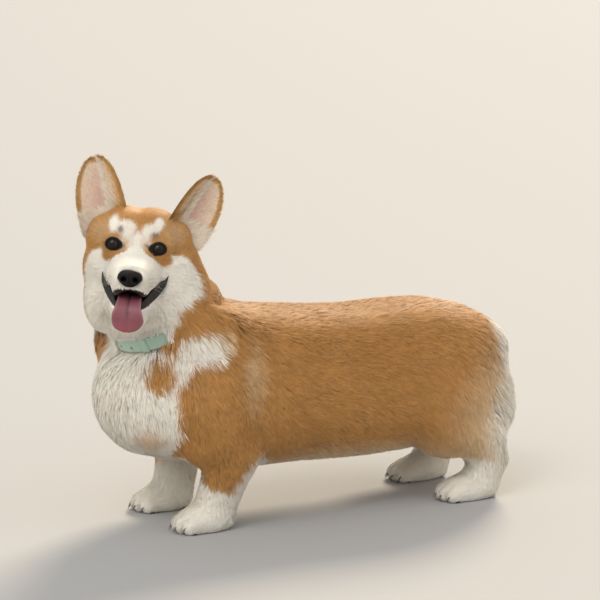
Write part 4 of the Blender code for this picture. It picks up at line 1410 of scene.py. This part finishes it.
def nose_front(rings=60, columns=120):
    """The pad seen from the front by rings out from its middle. A ring's share t of the way out sets an
    angle 105 t degrees; its size is sin^0.95 and it runs back by 1 - cos. The outline narrows below. The
    nostrils are deep commas, a groove runs down the middle, and the wings swell beside them."""
    t, a = grid(np.linspace(0, 1, rings + 1)[1:], circle(columns))
    angle = np.radians(105 * t)
    size = np.sin(np.minimum(angle, np.pi / 2)) ** 0.95 * (1 - 0.08 * smooth(t, 0.86, 0.14))
    c, s = bent(np.cos(a), 0.86), bent(np.sin(a), 0.92)
    x = NOSE_HALF[0] * size * c * (1 - 0.30 * smooth(-s))
    z = NOSE_HALF[1] * size * s
    y = -5.6 + 6.0 * (1 - np.cos(angle)) ** 1.15 + 8.0 * smooth(t, 0.7, 0.3)
    y = y - 0.14 * z + 0.9 * np.abs(x / 15) ** 2
    side = np.abs(x)
    hole = np.exp(-(((side - 6.4) / 2.7) ** 2 + ((z + 0.6) / 2.5) ** 2) ** 1.4)
    bend = -1.6 - 0.30 * (side - 7.0)
    slit = bell((z - bend) / 1.15) * smooth(side, 6.5, 2) * fade(side, 12.8, 2)
    wing = bell((side - 10.0) / 3.2, (z - 2.6) / 3.0)
    groove = bell(x / 0.8) * smooth(-z, -3.5, 5)
    y = y + 6.0 * hole + 2.6 * slit + 1.0 * groove - 0.9 * wing
    return np.stack([x, y, z], axis=-1)


def build_nose():
    """The pad, its colour black, with painted shade deep in the nostrils and a painted grey highlight on
    top.
    """
    made = material("nose", 0.42, {"Specular IOR Level": 0.16}, "nose_colour", ("cells", 900, 0.0005, 0.5))
    co, faces = closed_tube(nose_front(), [(0, -5.4, 0), (0, 10.5, 0)])
    mesh = mesh_from("nose_pad", from_head(co + NOSE_MIDDLE), faces)
    # painted shade: darker deep in the nostrils
    deep = smooth(co[:, 1], -4.5, 4.0) * (np.abs(co[:, 0]) < 9) * (co[:, 1] < 3)
    colour = np.array((0.010, 0.008, 0.008)) * (1 - 0.85 * deep)[:, None]
    # painted highlight: greyer over the top of the pad
    paint_mesh(mesh, "nose_colour", mixed(colour, (0.055, 0.045, 0.042), 0.5 * smooth(co[:, 2], 5.5, 5)))
    pad = add_piece("nose_pad", mesh, made)
    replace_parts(pad, "nose")


build_nose()


# The tongue

TONGUE = (
    # y, z, half width, half thickness
    (4.0, -43.0, 11.5, 2.5), (-14.0, -46.0, 12.2, 2.6), (-30.0, -52.0, 13.0, 2.8),
    (-46.0, -55.5, 13.4, 3.0), (-57.5, -59.5, 13.8, 3.0), (-64.0, -66.0, 15.2, 2.9),
    (-66.3, -74.0, 17.8, 2.7), (-66.2, -81.5, 18.2, 2.4), (-65.0, -88.0, 15.5, 2.1),
    (-64.2, -91.5, 10.5, 1.7), (-63.8, -93.2, 4.5, 1.2),
)


def build_tongue(rows=90, columns=48):
    """A flat tube along the stations. Across it the width goes by cos(a), the thickness by sin(a), a groove
    of exp(-(x / 1.7)^2) runs down the middle of its upper face, and its sides curl by x^2."""
    stations = rounded_path(TONGUE, rows)
    y, z, half, thick = stations.T
    along = unit(np.gradient(np.stack([np.zeros(rows), y, z], axis=1), axis=0))
    face = unit(np.cross(along, (1.0, 0.0, 0.0)))
    face = face * np.sign(face @ (0.0, -0.5, 1.0))[:, None]
    c, s = np.cos(circle(columns)), np.sin(circle(columns))
    x = half[:, None] * bent(c, 0.85)
    x = x * (1 + 0.025 * np.sin(np.linspace(0, 21, rows))[:, None] * np.sign(c))
    out = thick[:, None] * bent(s, 0.8)
    out = out - 1.3 * bell(x / 1.7) * smooth(s * 4) * smooth(half / 12)[:, None]
    hang = smooth(np.linspace(-2.2, 2.0, rows))[:, None]
    out = out + (0.010 - 0.022 * hang) * x**2
    rings = np.stack([x, y[:, None] + out * face[:, 1:2], z[:, None] + out * face[:, 2:3]], axis=-1)
    co, faces = closed_tube(rings, [(0, *stations[0, :2]), (0, *stations[-1, :2])])
    mesh = mesh_from("tongue_flesh", from_head(co), faces)
    paint_mesh(mesh, "tongue_colour", tongue_colour(*co.T, -z, half))
    wet = {"Coat Weight": 0.12, "Coat Roughness": 0.3, "Subsurface Weight": 0.15}
    wet["Subsurface Radius"] = (0.004, 0.0015, 0.001)
    made = material("tongue", 0.5, wet, "tongue_colour", ("noise", 1400, 0.0005, 0.5))
    tongue = add_piece("tongue_flesh", mesh, made)
    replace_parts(tongue, "tongue")


def tongue_colour(x, y, z, fall, half):
    """Dusky pink, redder at the tip, with a painted highlight paler along the rim, and painted shade darker
    in the mouth and down the groove.
    """
    # painted highlight: paler along the rim
    rim = smooth(np.abs(x) / np.interp(-z, fall, half), 0.80, 0.2)
    # painted shade: darker back in the mouth and down the groove
    deep = smooth(y, -58, 22)
    line = 0.45 * bell(x / 1.3) * smooth(z, -84, 14)
    colour = mixed(np.array((0.245, 0.072, 0.095)), (0.31, 0.078, 0.095), smooth(-z, 78, 14))
    colour = mixed(colour, (0.50, 0.26, 0.28), 0.3 * rim)
    return colour * ((1 - 0.75 * deep) * (1 - line))[:, None]


build_tongue()


# The lips. On each side a black band fills the corner between the upper lip and the lower; it is wider
# on the dog's left, which faces the camera. Rows run from the corner to the front.

LIP_BAND = {
    1: (
        # upper edge, lower edge
        ((40.0, -8.5, -29.5), (41.0, -9.0, -31.0)), ((36.6, -12.5, -36.0), (39.0, -11.5, -38.0)),
        ((31.5, -16.0, -39.0), (35.4, -14.0, -45.4)), ((27.0, -25.0, -45.0), (29.2, -23.0, -54.8)),
        ((23.0, -35.0, -50.0), (23.2, -32.5, -60.8)), ((17.5, -46.0, -57.0), (16.8, -43.0, -66.0)),
        ((9.0, -53.0, -65.5), (8.8, -51.0, -68.5)), ((0.0, -55.5, -67.0), (0.0, -54.0, -69.5)),
    ),
    -1: (
        ((-36.8, 2.0, -31.5), (-37.8, 1.0, -33.0)), ((-34.6, -5.0, -38.0), (-36.2, -5.0, -41.5)),
        ((-30.0, -14.5, -44.0), (-32.6, -13.5, -49.5)), ((-25.0, -24.5, -49.0), (-27.0, -24.5, -57.0)),
        ((-20.6, -34.5, -54.0), (-22.0, -33.5, -62.5)), ((-16.0, -45.0, -61.0), (-16.2, -43.0, -66.5)),
        ((-9.0, -53.0, -65.5), (-8.8, -51.0, -68.5)), ((0.0, -55.5, -67.0), (0.0, -54.0, -69.5)),
    ),
}
UPPER_LIP = (
    (39.6, -6.0, -32.5), (36.5, -11.0, -36.5), (34.5, -18.0, -45.0), (30.5, -28.0, -52.0),
    (26.0, -38.0, -56.0), (21.0, -49.0, -55.5), (16.0, -60.5, -55.5), (8.0, -69.5, -51.0),
    (0.0, -73.0, -48.0),
)
LIP_STEPS = 420


def lip_band():
    """Middle line, outward normal and half width and thickness of the band, from the left corner to the
    right; wrinkles are waves of 10 percent in its thickness."""
    left, right = np.array(LIP_BAND[1]), np.array(LIP_BAND[-1])
    rows = np.concatenate([left, right[-2::-1]])
    upper = rounded_path(rows[:, 0], LIP_STEPS)
    lower = rounded_path(rows[:, 1], LIP_STEPS)
    middle = (upper + lower) / 2
    along = unit(np.gradient(middle, axis=0))
    normal = unit(np.cross(upper - lower, along))
    normal = normal * np.sign(-normal[:, 1:2])
    t = np.linspace(0, 1, LIP_STEPS)
    wave = np.sin(t * 2 * np.pi * 34 + 2 * np.sin(t * 19))
    half = np.linalg.norm(upper - lower, axis=1) / 2 + 1.0
    radii = np.stack([half * (1 + 0.012 * wave), 1.0 + 0.10 * wave], axis=1)
    radii = radii * np.clip(np.minimum(t, 1 - t) / 0.09, 0.12, 1.0)[:, None] ** 0.7
    return from_head(middle), normal @ HEAD_AXES.T, radii


def build_lips():
    black = {"Base Color": (0.008, 0.007, 0.007, 1), "Specular IOR Level": 0.4}
    made = material("lips", 0.5, black, relief=("noise", 420, 0.0014, 0.9))
    ring_tube("lip_lower", *lip_band(), made, closed=False)
    half = np.array(UPPER_LIP)
    places = np.concatenate([half, half[-2::-1] * (-1.0, 1.0, 1.0)])
    t = np.linspace(0, 1, 200)
    path, normal = on_surface(from_head(rounded_path(places, len(t))), skin)
    for _ in range(4):
        path[1:-1] = 0.25 * path[:-2] + 0.5 * path[1:-1] + 0.25 * path[2:]
        normal[1:-1] = unit(0.25 * normal[:-2] + 0.5 * normal[1:-1] + 0.25 * normal[2:])
    radii = np.array((0.9, 0.7)) * np.clip(np.minimum(t, 1 - t) / 0.05, 0.3, 1.0)[:, None]
    ring_tube("lip_upper", path, normal, radii, made, closed=False)


build_lips()


# The collar: a flat band with turned edges, a ribbed keeper, a rivet and a dark dome painted as the shade of
# a punched hole

BAND_STEPS = 300
BAND_SIDES = 28


def collar_band_points(turns, out, level):
    """Places round the collar's ellipse, this far out from its inner face and up from its middle."""
    x = (COLLAR_RADII[0] + out) * np.cos(turns)
    y = (COLLAR_RADII[1] + out) * np.sin(turns)
    return from_collar(np.stack([x, y, level + 0 * x], axis=-1))


def collar_sweep(turns, half, inner, outer, ribs=0.0):
    """Rings of a strip along the band. Its section is a superellipse: the sign of cos and sin times their
    size to the power 0.4, by half its height and between these distances out; ribs are waves on the outer
    face along the strip."""
    t, s = grid(turns, circle(BAND_SIDES))
    level = half * bent(np.cos(s), 0.4)
    side = bent(np.sin(s), 0.4)
    wave = ribs * np.maximum(side, 0) * np.cos(7 * np.pi * level / 9)
    return collar_band_points(t, (inner + outer) / 2 + (outer - inner) / 2 * side + wave, level)


def add_button(name, degrees, level, radius, height, made):
    """A low dome on the band at this angle: radius sin(a) across, height cos(a) out."""
    p, t = grid(np.linspace(0.02, 0.5 * np.pi, 8), circle(24))
    place = np.radians(degrees) + radius * np.sin(p) * np.cos(t) / COLLAR_RADII[0]
    foot = COLLAR_THICK - 0.3
    dome = collar_band_points(place, foot + height * np.cos(p), level + radius * np.sin(p) * np.sin(t))
    ends = collar_band_points(np.radians((degrees, degrees)), np.array([foot + height, foot - 0.5]), level)
    add_piece(name, mesh_from(name, *closed_tube(dome, ends)), made)


def build_collar():
    """The band all round, a ribbed keeper over it, a rivet, and a dark dome with a raised rim, painted as
    the shade in a punched hole.
    """
    green = {"Base Color": (0.41, 0.56, 0.46, 1), "Specular IOR Level": 0.3, "Sheen Weight": 0.2}
    made = material("collar_webbing", 0.75, green, relief=("noise", 1600, 0.0004, 0.7))
    half = COLLAR_HEIGHT / 2
    co = collar_sweep(circle(BAND_STEPS), half, 0.0, COLLAR_THICK).reshape(-1, 3)
    band = mesh_from("collar_band", co, grid_faces(BAND_STEPS + 1, BAND_SIDES) % len(co))
    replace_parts(add_piece("collar_band", band, made), "collar")
    turns = np.radians(np.linspace(-56.5, -49.5, 12))
    keeper = collar_sweep(turns, half + 1.2, -0.5, COLLAR_THICK + 1.6, 0.35)
    keeper = mesh_from("collar_keeper", *closed_tube(keeper, keeper[[0, -1]].mean(axis=1)))
    add_piece("collar_keeper", keeper, made)
    grain = ("noise", 900, 0.0002, 0.4)
    grey = {"Base Color": (0.30, 0.29, 0.27, 1), "Metallic": 0.8}
    dark = {"Base Color": (0.03, 0.045, 0.04, 1)}
    metal = material("collar_rivet", 0.35, grey, relief=grain)
    hole = material("collar_hole_shade", 0.8, dark, relief=grain)
    add_button("collar_rivet", -70.0, -2.0, 2.4, 1.0, metal)
    # painted shade: a dark low dome stands for the punched hole
    add_button("collar_hole_shade", -87.0, -1.0, 2.0, 0.45, hole)


build_collar()


# Claws and pads: the toes' places follow the paws of the model


def toe_places():
    """Middle of each of the 16 toes in the body's frame, in an arc across each paw."""
    return np.array([
        (side * across + place * TOE_APART * half, along - 30.0 + 6.0 * abs(abs(place) - 0.5), 9.0)
        for across, along, half in PAWS for side in (1, -1) for place in TOE_PLACES])


def claw_shell(toe, rows=12, columns=14):
    """A curved cone: from the toe its line runs forward by 7 s and down by 2 s + 5 s^2, and its radius goes
    by the root of 1 - s."""
    s, a = grid(np.linspace(0, 1, rows), circle(columns))
    radius = np.maximum(2.1 * (1 - s) ** 0.5, 0.3)
    line = np.stack([0 * s, -7.0 - 7.0 * s, 1.0 - 2.0 * s - 5.0 * s**2], axis=-1) + toe
    ring = np.stack([radius * 0.75 * np.cos(a), 0 * s, radius * np.sin(a)], axis=-1)
    co, faces = closed_tube(line + ring, line[[0, -1], 0])
    return from_body(co), faces


def pad_shell(place, half):
    """A flattened ball at this place of the body's frame, with these half sizes."""
    shell, faces = ball(np.zeros(3), 1.0, 12)
    return from_body(shell * half + place), faces


def build_claws():
    horn = {"Base Color": (0.16, 0.11, 0.08, 1), "Coat Weight": 0.3}
    made = material("claws", 0.4, horn, relief=("noise", 900, 0.0003, 0.5))
    add_piece("claws", joined([claw_shell(toe) for toe in toe_places()]), made)


def build_pads():
    """A pad under each toe and a larger one behind them, down to the floor."""
    leather = {"Base Color": (*PAINTS["pad"], 1), "Specular IOR Level": 0.3}
    made = material("pads", 0.7, leather, relief=("cells", 700, 0.0006, 0.7))
    shells = [pad_shell((x, y + 1.0, 2.4), (4.4, 5.5, 2.3)) for x, y, _ in toe_places()]
    for across, along, _ in PAWS:
        shells += [pad_shell((side * across, along - 13.0, 2.6), (11.0, 8.5, 2.5)) for side in (1, -1)]
    add_piece("pads", joined(shells), made)


build_claws()
build_pads()


# Whiskers and the pores that they grow from: each row's number of roots, from the top row down

WHISKERS = (3, 4, 3)


def whisker_roots():
    """Places on each side of the muzzle: rows 4.6 mm apart in height, roots 6.5 mm apart along it."""
    rows = [(-62.0 + 6.5 * k + 2.0 * row, -31.0 - 4.6 * row)
            for row, count in enumerate(WHISKERS) for k in range(count)]
    return on_surface(from_head([(side * 26.0, *place) for side in (1, -1) for place in rows]), skin)


def whisker_shell(place, out, rng):
    """A thin cone: out along the skin's normal by 0.62 s and back and down by 0.75 s^1.6 of its length."""
    length = rng.uniform(18, 40) * MM
    sweep = HEAD_AXES @ unit(np.array((0.0, 1.0, -0.25)) + rng.normal(size=3) * 0.28)
    s = np.linspace(0, 1, 9)[:, None]
    line = place + length * (0.62 * s * out + 0.75 * s**1.6 * sweep)
    along = unit(np.gradient(line, axis=0))
    across = unit(np.cross(along, (0.0, 0.0, 1.0)))
    a = circle(5)[:, None]
    ring = across[:, None] * np.cos(a) + np.cross(across, along)[:, None] * np.sin(a)
    return closed_tube(line[:, None] + 0.13 * MM * (1 - 0.85 * s)[:, :, None] * ring, line[[0, -1]])


def build_whiskers():
    pale, dark = {"Base Color": (0.55, 0.50, 0.44, 1)}, {"Base Color": (0.10, 0.07, 0.055, 1)}
    hair = material("whiskers", 0.5, pale, relief=("noise", 900, 0.0001, 0.3))
    pore = material("whisker_pores", 0.7, dark, relief=("noise", 1500, 0.0002, 0.5))
    roots = list(zip(*whisker_roots()))
    rng = np.random.default_rng(SEED + 40)
    hairs = [whisker_shell(place, out, rng) for place, out in roots]
    add_piece("whiskers", joined(hairs), hair)
    pores = [ball(place + out * 0.45 * MM, 0.55 * MM, 5) for place, out in roots]
    add_piece("whisker_pores", joined(pores), pore)


build_whiskers()


# The stage, lights and camera


def build_stage(sides=128):
    """A flat disc under the paws."""
    r, a = grid(np.array([0.02, 3.0, 30.0]), circle(sides))
    rings = np.stack([r * np.cos(a), r * np.sin(a), 0 * r], axis=-1).reshape(-1, 3)
    c = np.arange(sides)
    middle = np.stack([np.full(sides, len(rings)), c, (c + 1) % sides], axis=1)
    faces = np.concatenate([halved(grid_faces(3, sides))[:, ::-1], middle])
    mesh = outward(mesh_from("floor", np.concatenate([rings, [(0, 0, 0)]]), faces))
    made = material("pale_floor", 0.85, {"Base Color": (0.43, 0.43, 0.43, 1.0)})
    object_from("floor", mesh, made)


def view_axes(azimuth, elevation):
    """Right, up and back of a camera that looks along +Y at azimuth 0."""
    a, e = math.radians(azimuth), math.radians(elevation)
    right = np.array((math.cos(a), math.sin(a), 0.0))
    back = np.array((math.sin(a) * math.cos(e), -math.cos(a) * math.cos(e), math.sin(e)))
    return right, np.cross(back, right), back


def sun(name, azimuth, elevation, strength, colour, width):
    """A distant light from this azimuth and elevation, as wide in the sky as width degrees."""
    data = bpy.data.lights.new(name, "SUN")
    data.energy = strength
    data.color = colour
    data.angle = math.radians(width)
    obj = bpy.data.objects.new(name, data)
    bpy.context.scene.collection.objects.link(obj)
    back = view_axes(azimuth, elevation)[2]
    obj.location = back * 3.0
    obj.rotation_mode = "QUATERNION"
    obj.rotation_quaternion = Vector(-back).to_track_quat("-Z", "Y")


def build_lights():
    """A broad soft front light, a fill, and a warm light from behind and above that rims the coat."""
    sun("key", 35, 42, 1.05, (1.0, 0.96, 0.90), 50)
    sun("fill", 115, 25, 0.42, (0.98, 0.98, 1.0), 80)
    sun("spark", 40, 46, 0.35, (1.0, 1.0, 1.0), 14)
    sun("rim", 228, 35, 3.5, (1.0, 0.86, 0.66), 20)
    world = bpy.data.worlds.new("studio")
    bpy.context.scene.world = world
    world.use_nodes = True
    sky = world.node_tree.nodes["Background"]
    sky.inputs[0].default_value = (1.0, 0.985, 0.96, 1.0)
    sky.inputs[1].default_value = 0.60


def build_camera():
    right, _, back = view_axes(VIEW_AZIMUTH, VIEW_ELEVATION)
    target = right * VIEW_TARGET_RIGHT + np.array((0, 0, VIEW_TARGET_HEIGHT)) + SHIFT
    data = bpy.data.cameras.new("camera")
    data.sensor_width = SENSOR
    data.lens = VIEW_LENS
    camera = bpy.data.objects.new("camera", data)
    bpy.context.scene.collection.objects.link(camera)
    camera.location = target + back * VIEW_DISTANCE
    camera.rotation_mode = "QUATERNION"
    camera.rotation_quaternion = Vector(-back).to_track_quat("-Z", "Y")
    bpy.context.scene.camera = camera


build_stage()
build_lights()
build_camera()
bpy.context.scene.view_settings.view_transform = "Standard"
